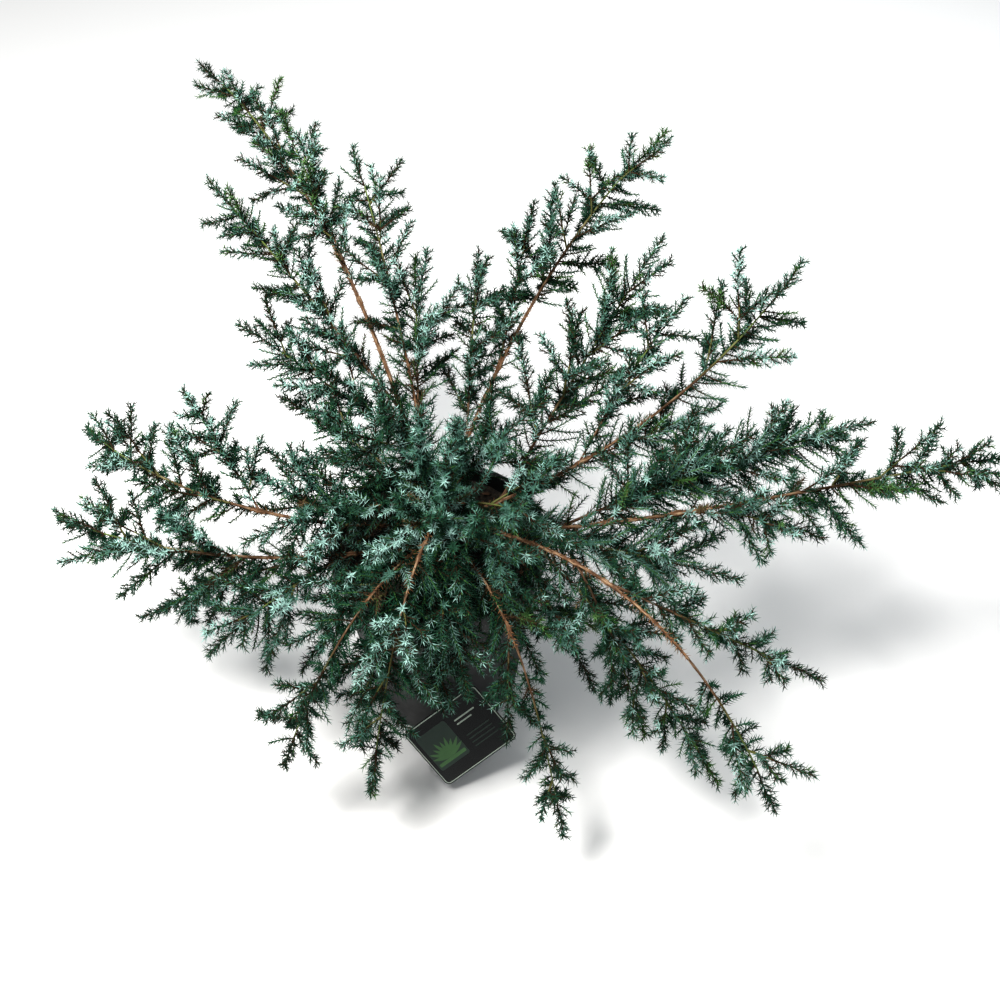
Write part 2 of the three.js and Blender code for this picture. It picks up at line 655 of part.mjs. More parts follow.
const SEED = 7001;
const SEED_STEP = 13;
const GREENS = [0x587a72, 0x4c6f66, 0x668a84, 0x537468, 0x5f8078, 0x48685d];
Object.entries(MASSES).forEach(([name, m], i) => {
  const { path, length, end, count, lead, shoots } = growMass(name, m, SEED + i * SEED_STEP);
  const start = m.tip ? 0 : CLEAR / length;
  const points = [];
  const radii = [];
  for (let k = 0; k <= count; k += 1) {
    const u = start + ((end - start) * k) / count;
    points.push(path(u));
    radii.push(stemRadius(length, u));
  }
  const skin = tube(points, radii, 3, (k) => TWIST * k);
  if (lead) {
    addSpray(skin, [skin.faces.length - 1], lead);
  }
  for (const s of shoots) {
    const lengthFaces = [0, 1, 2, 3, 4, 5].map((f) => s.k * 6 + f);
    if (s.spray) {
      addSpray(skin, lengthFaces, s.spray);
    } else {
      const face = facing(skin, lengthFaces, s.way);
      if (face >= 0) {
        const run = size(sub(s.fork, s.foot));
        const made = growOut(skin, face, s.foot, s.way, [[run, TWIG_END]], null);
        addSpray(skin, [made.pop()], s.ahead);
        s.sides.filter((side) => side).forEach((side) => addSpray(skin, made, side));
      }
    }
  }
  let body = solid(skin.corners, skin.faces.filter((f) => f));
  body = body.subtract(m.on === 'stem' ? trunkRoom : limbSolid(BOUGHS[m.on], CLEAR + 0.02));
  const pieces = body.decompose();
  pieces.sort((p, q) => q.volume() - p.volume());
  node(`foliage_${name}`, pieces[0], GREENS[i % GREENS.length], 0.85);
});

export default plant;
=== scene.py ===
# %% [markdown]
# A spreading juniper in a black nursery pot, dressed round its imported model.
#
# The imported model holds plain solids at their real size: the pot, the compost, the stem, eleven
# boughs and forty-five masses of foliage. This lesson keeps those sizes and makes what the eye
# looks for: fine twigs with real needles, flaky bark, moulded plastic, crumbs of compost and a
# printed card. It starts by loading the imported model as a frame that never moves, and it notes
# the size of that frame, so that the finished plant can be compared with it at the end.

# %% Load the frame
import math

import bpy
import numpy as np
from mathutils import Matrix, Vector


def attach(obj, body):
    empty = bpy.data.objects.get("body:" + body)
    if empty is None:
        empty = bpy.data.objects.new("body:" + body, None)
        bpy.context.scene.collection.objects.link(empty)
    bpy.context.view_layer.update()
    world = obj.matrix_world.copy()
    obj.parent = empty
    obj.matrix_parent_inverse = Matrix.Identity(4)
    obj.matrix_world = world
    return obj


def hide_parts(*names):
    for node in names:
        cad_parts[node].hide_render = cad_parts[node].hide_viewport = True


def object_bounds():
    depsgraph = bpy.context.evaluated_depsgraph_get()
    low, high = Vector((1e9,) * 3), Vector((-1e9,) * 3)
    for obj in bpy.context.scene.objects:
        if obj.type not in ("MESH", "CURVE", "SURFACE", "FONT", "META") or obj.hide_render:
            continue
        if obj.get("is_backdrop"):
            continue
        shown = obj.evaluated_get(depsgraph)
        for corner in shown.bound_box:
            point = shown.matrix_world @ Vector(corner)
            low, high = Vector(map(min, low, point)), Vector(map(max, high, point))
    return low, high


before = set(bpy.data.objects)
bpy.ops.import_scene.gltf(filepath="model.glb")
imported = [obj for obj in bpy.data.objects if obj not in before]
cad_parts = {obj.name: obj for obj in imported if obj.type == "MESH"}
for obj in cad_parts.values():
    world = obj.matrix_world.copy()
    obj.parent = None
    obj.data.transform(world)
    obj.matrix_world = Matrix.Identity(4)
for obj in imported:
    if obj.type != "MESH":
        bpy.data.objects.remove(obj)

CAD_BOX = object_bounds()
MM = 0.001
print("nodes in the frame:", len(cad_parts))
print("size of the frame in metres:", [round(x, 3) for x in CAD_BOX[1] - CAD_BOX[0]])

# %% [markdown]
# The camera comes first, because every later choice is judged through it. The plant was looked
# down on from the front at about 46 degrees, from about 1.3 metres away. A camera in Blender
# looks along its own -Z axis, so turning it 44 degrees about X from straight down gives that
# view. The lens is worked out from the focal length in pixels of a picture 1000 wide.

# %% Camera
VIEW_FROM_MM = (63.38, -897.38, 1218.72)
VIEW_DOWN = 46
FOCAL_PIXELS = 1302
PICTURE_WIDTH = 1000

camera_data = bpy.data.cameras.new("camera")
camera_data.sensor_width = 36
camera_data.lens = camera_data.sensor_width * FOCAL_PIXELS / PICTURE_WIDTH
camera_data.clip_start = 0.01
camera = bpy.data.objects.new("camera", camera_data)
camera.location = [x * MM for x in VIEW_FROM_MM]
camera.rotation_euler = (math.radians(90 - VIEW_DOWN), 0, 0)
bpy.context.scene.collection.objects.link(camera)
bpy.context.scene.camera = camera
print("lens in millimetres:", round(camera_data.lens, 1))

# %% [markdown]
# Most of the light is a pale sky all round, as on an overcast day, because needles need light
# from every side or the crown turns black. One large soft lamp above and to the left gives the
# needles a bright side, and a weaker one behind lifts the far boughs off the floor. The standard
# view transform with a little more contrast keeps the whites white and the shadows between the
# needles deep.

# %% Light and floor
SKY_COLOUR = (0.95, 0.98, 1.0)
SKY_STRENGTH = 0.28
KEY_LAMP = {"place": (-0.7, -0.5, 2.2), "size": 0.7, "watts": 85, "colour": (1.0, 0.98, 0.95)}
BACK_LAMP = {"place": (0.9, 1.5, 1.6), "size": 1.2, "watts": 14, "colour": (0.93, 0.97, 1.0)}


def soft_lamp(name, place, size, watts, colour):
    """A square lamp that looks at the middle of the plant."""
    data = bpy.data.lights.new(name, "AREA")
    data.size = size
    data.energy = watts
    data.color = colour
    lamp = bpy.data.objects.new(name, data)
    lamp.location = place
    away = lamp.location - CAD_BOX[0].lerp(CAD_BOX[1], 0.5)
    lamp.rotation_euler = away.to_track_quat("Z", "Y").to_euler()
    bpy.context.scene.collection.objects.link(lamp)


world = bpy.data.worlds.new("sky")
world.use_nodes = True
world.node_tree.nodes["Background"].inputs["Color"].default_value = (*SKY_COLOUR, 1)
world.node_tree.nodes["Background"].inputs["Strength"].default_value = SKY_STRENGTH
bpy.context.scene.world = world
bpy.context.scene.view_settings.view_transform = "Standard"
bpy.context.scene.view_settings.look = "Medium High Contrast"
soft_lamp("key", **KEY_LAMP)
soft_lamp("back", **BACK_LAMP)

FLOOR_HALF = 6.0
SQUARE = ((-1, -1), (1, -1), (1, 1), (-1, 1))
floor_mesh = bpy.data.meshes.new("floor")
floor_corners = [(sx * FLOOR_HALF, sy * FLOOR_HALF, 0) for sx, sy in SQUARE]
floor_mesh.from_pydata(floor_corners, [], [(0, 1, 2, 3)])
floor = bpy.data.objects.new("floor", floor_mesh)
bpy.context.scene.collection.objects.link(floor)
floor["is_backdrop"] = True
print("lamps:", len(bpy.data.lights))

# %% [markdown]
# Everything below is made as arrays of points and triangles, in millimetres, and turned into a
# mesh in one step. That is the quick way to make hundreds of thousands of small faces in
# Blender: adding them one at a time would take minutes. A piece may wear several materials, so
# each triangle can say which of them it takes.

# %% From arrays to a piece
def mesh_piece(name, points, faces, materials, wears=None, smooth=False):
    """One object from points in millimetres and triangles; wears is each triangle's material."""
    mesh = bpy.data.meshes.new(name)
    mesh.vertices.add(len(points))
    mesh.vertices.foreach_set("co", (np.asarray(points) * MM).astype(np.float32).ravel())
    mesh.loops.add(len(faces) * 3)
    mesh.loops.foreach_set("vertex_index", np.asarray(faces, np.int32).ravel())
    mesh.polygons.add(len(faces))
    mesh.polygons.foreach_set("loop_start", np.arange(0, len(faces) * 3, 3, dtype=np.int32))
    for material in materials:
        mesh.materials.append(material)
    if wears is not None:
        mesh.polygons.foreach_set("material_index", np.asarray(wears, np.int32))
    mesh.polygons.foreach_set("use_smooth", np.full(len(faces), smooth))
    mesh.update(calc_edges=True)
    piece = bpy.data.objects.new(name, mesh)
    bpy.context.scene.collection.objects.link(piece)
    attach(piece, "root")
    print(f"{name}: {len(faces)} triangles")
    return piece


class Patch:
    """Points and triangles that are gathered piece by piece and joined at the end."""

    def __init__(self):
        self.points = []
        self.faces = []
        self.count = 0

    def add(self, points, faces):
        self.points.append(np.asarray(points, float))
        self.faces.append(np.asarray(faces, int) + self.count)
        self.count += len(points)

    def joined(self):
        return np.concatenate(self.points), np.concatenate(self.faces)


trial = Patch()
trial.add(np.eye(3), [(0, 1, 2)])
trial.add(np.eye(3), [(0, 1, 2)])
print("corners of the second triangle in a patch of two:", trial.joined()[1][1])

# %% [markdown]
# Most materials here are built from noise in later cells. Needles and fine twigs are too small
# for that: a plain colour each is enough, and the colours are dealt out by spray instead. The
# floor takes such a plain finish too, pale and dull, so that only soft shadows show on it.

# %% Plain finishes
FLOOR_PALE = (0.86, 0.86, 0.86)


def plain_finish(name, colour, roughness, specular):
    """A material with one base colour."""
    material = bpy.data.materials.new(name)
    material.use_nodes = True
    shader = material.node_tree.nodes["Principled BSDF"]
    shader.inputs["Base Color"].default_value = (*colour, 1)
    shader.inputs["Roughness"].default_value = roughness
    shader.inputs["Specular IOR Level"].default_value = specular
    return material


floor_mesh.materials.append(plain_finish("pale_floor", FLOOR_PALE, 0.9, 0.2))
print("floor finish:", floor_mesh.materials[0].name)

# %% [markdown]
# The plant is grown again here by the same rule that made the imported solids, so that every
# twig lies where its solid is. The rule needs a few things: a seeded stream of numbers, two
# directions across a third, and the sizes of the pot, the boughs and the masses. Each bough
# leaves the stem at a compass direction, sweeps a little, rises and then droops under its own
# weight. All sizes are in millimetres, measured from the middle of the pot's underside, and
# compass directions are degrees round from the picture's right, through its back.

# %% Seeded numbers
MASK = 0xFFFFFFFF
SEED = 7001


def stream(seed):
    """A function that gives the next number from 0 to 1, the same ones on every run."""
    state = seed & MASK

    def draw():
        nonlocal state
        state = (state + 0x6D2B79F5) & MASK
        t = ((state ^ (state >> 15)) * (state | 1)) & MASK
        t ^= (t + (((t ^ (t >> 7)) * (t | 61)) & MASK)) & MASK
        return ((t ^ (t >> 14)) & MASK) / 4294967296

    return draw


draw = stream(SEED)
print("first numbers of the stream:", [round(draw(), 4) for _ in range(3)])


# %% Directions
def unit(v):
    """The same direction with a length of one."""
    return v / np.sqrt(v @ v)


def cross(a, b):
    """The cross product of two single vectors, quicker than numpy's own for one pair."""
    return np.array(
        [
            a[1] * b[2] - a[2] * b[1],
            a[2] * b[0] - a[0] * b[2],
            a[0] * b[1] - a[1] * b[0],
        ]
    )


def across(way):
    """Two unit vectors across a direction: to its right, and upwards."""
    ref = np.array([0.0, 0, 1]) if abs(way[2]) < 0.995 else np.array([0.0, 1, 0])
    right = unit(cross(way, ref))
    return right, cross(right, way)


def turned(way, angle, roll):
    """A direction turned away from another by an angle, rolled round it from straight up."""
    right, up = across(way)
    side = up * math.cos(roll) + right * math.sin(roll)
    return unit(way * math.cos(angle) + side * math.sin(angle))


def polar(azimuth, reach, height):
    """A point from its compass direction in degrees, its distance out and its height."""
    a = math.radians(azimuth)
    return np.array([reach * math.cos(a), reach * math.sin(a), height])


print("right and up across the way back:", [v.tolist() for v in across(np.array([0.0, 1, 0]))])

# %% Sizes of the plant and its pot
POT = {"height": 235, "foot": 80, "neck": 107, "rim": 112.5, "wall": 2, "rim_depth": 20}
SOIL_Z = 221
TRUNK_TOP = 284
TRUNK = {"foot": 14.5, "taper": 3.5, "flare": 7.5}
BOUGH_TAPER = 0.62
CARD = {"at": (22, -127, 66), "w": 94, "h": 76, "t": 1.2, "corner": 6, "lean": 30, "turn": 38}
BOUGHS = {
    "back_left": dict(az=107, sweep=12, reach=575, foot=241, rise=342, drop=95, r=3.4, bare=0.5),
    "back": dict(az=102, sweep=3, reach=363, foot=266, rise=220, drop=15, r=2.6, bare=0.42),
    "back_right": dict(az=72, sweep=-14, reach=459, foot=254, rise=240, drop=25, r=3, bare=0.5),
    "right_back": dict(az=358, sweep=26, reach=394, foot=256, rise=180, drop=-25, r=2.8, bare=0.55),
    "right": dict(az=338, sweep=25, reach=565, foot=241, rise=212, drop=132, r=3.3, bare=0.55),
    "right_front": dict(az=318.5, sweep=1, reach=420, foot=263, rise=205, drop=315, r=2.9, bare=0.72),
    "front_right": dict(az=298.5, sweep=-2, reach=284, foot=246, rise=115, drop=300, r=2.4, bare=0.6),
    "front": dict(az=268, sweep=-15.5, reach=225, foot=260, rise=165, drop=355, r=2.4, bare=0.55),
    "front_left": dict(az=264, sweep=-33, reach=249, foot=239, rise=200, drop=348, r=2.4, bare=0.6),
    "left_front": dict(az=214, sweep=-41, reach=410, foot=240, rise=62, drop=90, r=2.8, bare=0.42),
    "left": dict(az=201, sweep=-42, reach=416, foot=258, rise=78, drop=85, r=2.8, bare=0.44),
}


def pot_radius(z):
    """The outside of the pot's wall at a height."""
    return POT["foot"] + (POT["neck"] - POT["foot"]) * z / (POT["height"] - POT["rim_depth"])


def bough_point(b, t):
    """A point of a bough, from t = 0 on the trunk to t = 1 at its tip."""
    height = b["foot"] + b["rise"] * t - b["drop"] * t * t * t
    return polar(b["az"] + b["sweep"] * t, b["reach"] * t, height)


def bough_radius(b, t):
    return b["r"] * (1 - BOUGH_TAPER * t)


def trunk_radius(z):
    """The trunk at a height: slightly tapered, with a flare at its foot."""
    k = (z - SOIL_Z) / (TRUNK_TOP - SOIL_Z)
    return TRUNK["foot"] - TRUNK["taper"] * k + TRUNK["flare"] * (1 - k) ** 4


print("boughs:", len(BOUGHS))

# %% [markdown]
# A mass is one leafy branch with everything that grows on it. An end mass carries its bough on
# to the tip. A side mass leaves its bough, or the stem, at `at` and arches to a tip of its own,
# given as a compass direction, a reach and a height. `lift` bows it upwards, `start` says where
# its shoots begin and `wide` how long they are. These rows were chosen against the photograph,
# branch by branch, and they stand in the order in which the branches claim space.

# %% The masses of foliage
MASSES = {
    "crown_back": dict(on="stem", at=277, tip=(140, 70, 395), lift=5, start=0.1, wide=90),
    "crown_right": dict(on="stem", at=277, tip=(20, 110, 385), lift=20, start=0.1, wide=90),
    "crown_front_right": dict(on="stem", at=277, tip=(325, 160, 330), lift=50, start=0.1, wide=90),
    "crown_front": dict(on="stem", at=279, tip=(283, 150, 300), lift=60, start=0.1, wide=90),
    "crown_front_left": dict(on="stem", at=277, tip=(196, 190, 285), lift=45, start=0.12, wide=80),
    "crown_left": dict(on="stem", at=279, tip=(141, 212, 305), lift=20, start=0.1, wide=80),
    "crown_low": dict(on="stem", at=240, tip=(12, 140, 300), lift=0, start=0.12, wide=80),
    "skirt_front": dict(on="front", at=0.3, tip=(282, 165, 165), lift=45, start=0.15, wide=70),
    "skirt_right": dict(on="front_right", at=0.25, tip=(307, 180, 175), lift=35, start=0.15, wide=75),
    "back_left_tip": dict(on="back_left", wide=60),
    "back_tip": dict(on="back", wide=62),
    "back_right_tip": dict(on="back_right", wide=76),
    "right_back_tip": dict(on="right_back", start=0.3, wide=80),
    "right_tip": dict(on="right", wide=64),
    "right_front_tip": dict(on="right_front", start=0.4, wide=60),
    "front_right_tip": dict(on="front_right", start=0.45, wide=40),
    "front_tip": dict(on="front", wide=60),
    "front_left_tip": dict(on="front_left", start=0.4, wide=55),
    "left_front_tip": dict(on="left_front", wide=78),
    "left_tip": dict(on="left", wide=68),
    "back_left_outer": dict(on="back_left", at=0.2, tip=(126, 437, 430), lift=10, start=0.15, wide=68),
    "back_left_low": dict(on="back_left", at=0.13, tip=(137, 290, 350), lift=15, start=0.15, wide=74),
    "back_left_right": dict(on="back_left", at=0.4, tip=(114, 445, 485), lift=15, start=0.15, wide=52),
    "back_side": dict(on="back", at=0.25, tip=(96, 265, 390), lift=10, start=0.1, wide=68),
    "back_mid": dict(on="back_right", at=0.18, tip=(81, 258, 400), lift=30, start=0.1, wide=60),
    "back_right_side": dict(on="back_right", at=0.35, tip=(72, 321, 430), lift=5, start=0.1, wide=58),
    "back_right_low": dict(on="right_back", at=0.16, tip=(46, 333, 430), lift=10, start=0.2, wide=90),
    "right_back_low": dict(on="right_back", at=0.38, tip=(12, 285, 360), lift=0, start=0.25, wide=58),
    "right_back_up": dict(on="right_back", at=0.36, tip=(29, 279, 430), lift=25, start=0.1, wide=54),
    "right_upper": dict(on="right", at=0.22, tip=(6, 428, 350), lift=25, start=0.3, wide=70),
    "right_mid": dict(on="right", at=0.3, tip=(358, 295, 385), lift=15, start=0.1, wide=64),
    "right_side": dict(on="right", at=0.42, tip=(349, 373, 310), lift=25, start=0.1, wide=62),
    "right_low": dict(on="right", at=0.14, tip=(343, 303, 272), lift=10, start=0.2, wide=90),
    "right_front_side": dict(on="right_front", at=0.5, tip=(333, 403, 240), lift=0, start=0.1, wide=42),
    "right_front_low": dict(on="right_front", at=0.3, tip=(322, 354, 110), lift=50, start=0.2, wide=56),
    "right_front_hang": dict(on="right_front", at=0.42, tip=(319, 275, 135), lift=35, start=0.15, wide=51),
    "front_right_out": dict(on="right_front", at=0.2, tip=(318, 215, 160), lift=35, start=0.2, wide=75),
    "front_right_side": dict(on="front_right", at=0.55, tip=(289, 214, 165), lift=15, start=0.2, wide=50),
    "front_side": dict(on="front", at=0.4, tip=(273, 160, 150), lift=20, start=0.1, wide=55),
    "front_left_hang": dict(on="front_left", at=0.45, tip=(247, 190, 110), lift=20, start=0.1, wide=60),
    "front_left_out": dict(on="front_left", at=0.25, tip=(222, 185, 165), lift=40, start=0.14, wide=66),
    "left_front_low": dict(on="left_front", at=0.22, tip=(210, 255, 205), lift=25, start=0.1, wide=70),
    "left_front_side": dict(on="left_front", at=0.3, tip=(189, 312, 165), lift=20, start=0.2, wide=70),
    "left_up": dict(on="left", at=0.42, tip=(155, 290, 315), lift=15, start=0.12, wide=54),
    "left_back": dict(on="left", at=0.22, tip=(160, 185, 295), lift=20, start=0.1, wide=80),
}

print("masses:", len(MASSES))


# %% The stem of each mass
def mass_path(m):
    """The way a mass's own stem runs, from u = 0 at its foot to u = 1 at its tip."""
    if "tip" not in m:
        b = BOUGHS[m["on"]]
        return lambda u: bough_point(b, b["bare"] + (1 - b["bare"]) * u)
    if m["on"] == "stem":
        foot = np.array([0.0, 0, m["at"]])
    else:
        foot = bough_point(BOUGHS[m["on"]], m["at"])
    tip = polar(*m["tip"])
    bow = (foot + tip) / 2 + np.array([0, 0, m["lift"]])
    return lambda u: (foot * (1 - u) + bow * u) * (1 - u) + (bow * (1 - u) + tip * u) * u


def path_length(path, steps=12):
    """The length of a path, measured in straight steps."""
    return sum(np.linalg.norm(path((i + 1) / steps) - path(i / steps)) for i in range(steps))


def tangent(path, u):
    """The direction in which a path runs at a share of its length."""
    return unit(path(min(1, u + 0.01)) - path(max(0, u - 0.01)))


def stem_radius(length, u):
    """Half the thickness of a packed stem: longer stems are thicker, and all of them taper."""
    return (1.5 + length * 0.006) * (1 - 0.5 * u)


longest = max(path_length(mass_path(m)) for m in MASSES.values())
print("longest stem of a mass:", round(longest), "mm")

# %% [markdown]
# Branches on a living plant grow into free space and give way to each other. The rule copies
# that with rods: every limb, stem and shoot that is already there is noted as a straight rod
# with a thickness at each end, and a new shoot is only kept where it clears them all. Testing
# one rod against all the others at once with arrays keeps this to a second or two. The pot, the
# compost and the ground are not rods: the room over them is worked out from their own sizes.

# %% Rods, and the gaps between them
OWNERS = {"label": -1, "bough": -2, "trunk": -3}
ON_STEM = -2
LEAD = -1


class Space:
    """Rods with an owner each. `fork` and `inner` say where on its own mass a rod sits."""

    def __init__(self, most=9000):
        self.a = np.zeros((most, 3))
        self.b = np.zeros((most, 3))
        self.thick = np.zeros((most, 2))
        self.owner = np.zeros(most, int)
        self.fork = np.zeros(most, int)
        self.inner = np.zeros(most, bool)
        self.n = 0

    def put(self, owner, a, b, ra, rb, fork=ON_STEM, inner=False):
        """Note one rod between two points, with its thickness at each."""
        i = self.n
        self.a[i] = a
        self.b[i] = b
        self.thick[i] = ra, rb
        self.owner[i] = owner
        self.fork[i] = fork
        self.inner[i] = inner
        self.n += 1

    def along(self, owner, path, radius, steps):
        """Note a whole path as a row of rods."""
        for i in range(steps):
            u, v = i / steps, (i + 1) / steps
            self.put(owner, path(u), path(v), radius(u), radius(v))

    def gaps(self, a, b, ra, rb):
        """The gap from one rod to each of those that are there."""
        c, d = self.a[: self.n], self.b[: self.n]
        u, v, w = b - a, d - c, a - c
        uu, uv, uw = u @ u, v @ u, w @ u
        vv = np.einsum("ij,ij->i", v, v)
        vw = np.einsum("ij,ij->i", v, w)
        det = uu * vv - uv * uv
        s = np.where(det > 1e-9, (uv * vw - vv * uw) / np.where(det > 1e-9, det, 1), 0).clip(0, 1)
        t = ((uv * s + vw) / vv).clip(0, 1)
        s = ((uv * t - uw) / uu).clip(0, 1)
        between = np.linalg.norm(w + s[:, None] * u - t[:, None] * v, axis=1)
        r0, r1 = self.thick[: self.n].T
        return between - (ra + (rb - ra) * s) - (r0 + (r1 - r0) * t)


trial = Space()
trial.put(0, np.array([0.0, 0, 0]), np.array([10.0, 0, 0]), 1, 1)
trial_gap = trial.gaps(np.array([0.0, 8, 0]), np.array([10.0, 8, 0]), 1, 1)[0]
print("gap between two rods 8 mm apart and 2 mm thick:", trial_gap, "mm")

# %% Room over the pot and the ground
FLOOR_ROOM = 16
SOIL_ROOM = 2
INSIDE = POT["rim"] - 9


def above_ground(p, r):
    """How far a point with some thickness stays from the pot, the compost and the ground."""
    out = math.hypot(p[0], p[1])
    gap = p[2] - FLOOR_ROOM
    if out < INSIDE:
        gap = min(gap, p[2] - SOIL_Z - SOIL_ROOM)
    elif p[2] > POT["height"]:
        gap = min(gap, math.hypot(max(0, out - POT["rim"]), p[2] - POT["height"]))
    elif p[2] > POT["height"] - POT["rim_depth"]:
        gap = min(gap, out - POT["rim"])
    else:
        gap = min(gap, out - pot_radius(p[2]))
    return gap - r


def rod_above_ground(a, b, ra, rb):
    """The least of those gaps at four places along a rod."""
    return min(above_ground(a + (b - a) * k, ra + (rb - ra) * k) for k in (0, 1 / 3, 2 / 3, 1))


print("room over the compost at the trunk's top:", above_ground((0, 0, TRUNK_TOP), 0), "mm")

# %% [markdown]
# The card, the strap, the boughs, the trunk and the stems of the masses are there before any
# shoot. The card is a leaning sheet in front of the pot, so one helper turns places on the card
# into places in the plant's frame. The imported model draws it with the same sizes.

# %% The space that is already taken
CARD_ROWS = (-1.5, -0.5, 0.5, 1.5)
CARD_EDGE = 8
CARD_ROOM = 11
STRAP_ROOM = 4
TRUNK_ROOM = (15, 12)
BOUGH_STEPS = 9
STEM_STEPS = 10
STRAP_FOOT = np.array([-2, -POT["rim"] - 1.2, POT["height"] - POT["rim_depth"] - 4])


def to_card(p):
    """From the card's own plane, with its middle at the origin, to the plant's frame."""
    turn, tilt = math.radians(CARD["turn"]), math.radians(90 - CARD["lean"])
    x = p[0] * math.cos(turn) - p[1] * math.sin(turn)
    y = p[0] * math.sin(turn) + p[1] * math.cos(turn)
    c, s = math.cos(tilt), math.sin(tilt)
    return np.array(CARD["at"], float) + np.array([x, y * c - p[2] * s, y * s + p[2] * c])


space = Space()
half = CARD["w"] / 2 - CARD_EDGE
for row in CARD_ROWS:
    y = row * CARD["h"] / 4
    ends = to_card((-half, y, 0)), to_card((half, y, 0))
    space.put(OWNERS["label"], *ends, CARD_ROOM, CARD_ROOM)
strap_end = to_card((0, CARD["h"] / 2 - 1, 0))
space.put(OWNERS["label"], STRAP_FOOT, strap_end, STRAP_ROOM, STRAP_ROOM)
for b in BOUGHS.values():
    space.along(
        OWNERS["bough"],
        lambda u: bough_point(b, u * b["bare"]),
        lambda u: bough_radius(b, u * b["bare"]),
        BOUGH_STEPS,
    )
trunk_ends = np.array([[0.0, 0, SOIL_Z], [0.0, 0, TRUNK_TOP]])
space.put(OWNERS["trunk"], *trunk_ends, *TRUNK_ROOM)
for i, m in enumerate(MASSES.values()):
    path = mass_path(m)
    length = path_length(path)
    space.along(i, path, lambda u: stem_radius(length, u), STEM_STEPS)
print("rods before any shoot:", space.n)

# %% [markdown]
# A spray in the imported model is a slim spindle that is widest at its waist, 0.42 of the way
# along. It takes its space only where both of its halves clear every other mass by 0.6 mm, stay
# off the ground, and don't cut through their own neighbours. A forked twig carries one spray
# ahead and one or two at its sides.

# %% Sprays and forked twigs
GAP = 0.6
WAIST = 0.42
ROOT = 2.5
TWIG_END = 1.3
POINT = 0.5
FAT = {"shoot": 0.155, "lead": 0.16, "ahead": 0.125, "side": 0.11}
FORK = {"twig": 0.4, "ahead": 0.72, "side": 0.62, "along": 0.6, "lean": 50, "roll": 1.6}


def fits(me, foot, way, length, radius, fork):
    """A spray if it clears everything, and then its space is taken."""
    mid = foot + way * length * WAIST
    tip = foot + way * length
    inner = (foot, mid, ROOT, radius)
    outer = (mid, tip, radius, POINT)
    near_gaps, far_gaps = space.gaps(*inner), space.gaps(*outer)
    others = space.owner[: space.n] != me
    own_fork = space.fork[: space.n]
    carries_on = (fork == LEAD) & (own_fork == ON_STEM)
    mine = ~others & ~carries_on
    joined = (own_fork == ON_STEM) | ((own_fork == fork) & space.inner[: space.n])
    if (mine & ~joined & (near_gaps < 0)).any() or (mine & (far_gaps < 0)).any():
        return None
    room = min(near_gaps[others].min(), far_gaps[others].min())
    if min(room, rod_above_ground(*inner), rod_above_ground(*outer)) < GAP:
        return None
    space.put(me, *inner, fork, True)
    space.put(me, *outer, fork, False)
    return {"foot": foot, "tip": tip, "radius": radius}


def grow_fork(me, foot, way, roll, reach, draw, k):
    """A twig with one spray ahead and one or two on its sides."""
    fork = foot + way * reach * FORK["twig"]
    twig = (foot, fork, ROOT, TWIG_END)
    others = space.owner[: space.n] != me
    if min(space.gaps(*twig)[others].min(), rod_above_ground(*twig)) <= GAP:
        return None
    ahead = fits(me, fork, way, reach * FORK["ahead"], reach * FAT["ahead"], k)
    if ahead is None:
        return None
    space.put(me, *twig, k, True)
    knee = foot + (fork - foot) * FORK["along"]
    turn = FORK["roll"] if draw() < 0.5 else -FORK["roll"]
    sides = []
    for t in (turn, -turn):
        out = turned(way, math.radians(FORK["lean"]), roll + t)
        sides.append(fits(me, knee, out, reach * FORK["side"], reach * FAT["side"], k))
    return {"twig": (foot, fork), "sprays": [s for s in (ahead, *sides) if s]}


print("a spray 80 mm long is", round(2 * 80 * FAT["shoot"], 1), "mm thick at its waist")

# %% [markdown]
# Now each mass grows. A lead carries its stem on to the tip. Shoots leave the stem every 16 mm,
# turning round it by thirds and growing shorter towards the tip, and every third one is a
# forked twig. Each is tried on up to six sides and dropped if none is free. This repeats the
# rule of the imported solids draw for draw, so each spray here has the foot, tip and thickness
# of its solid.

# %% Grow the masses
SPACING = 16
SHOOTS_FROM = 0.04
TRIES = 6
TWIST = 0.4
ROLL_PLAY = 0.7
LEAN = 36
LEAN_MORE = 22
REACH = 0.85
REACH_MORE = 0.35
WIDE_FOOT = 1.22
TAPER = 0.67
LEAD_SHARE = 0.8
LEAST_LEAD = 42
MOST_LEAD = 68
LEAD_INSIDE = 0.92
FOOT_OFF = 0.5
SEED_STEP = 13


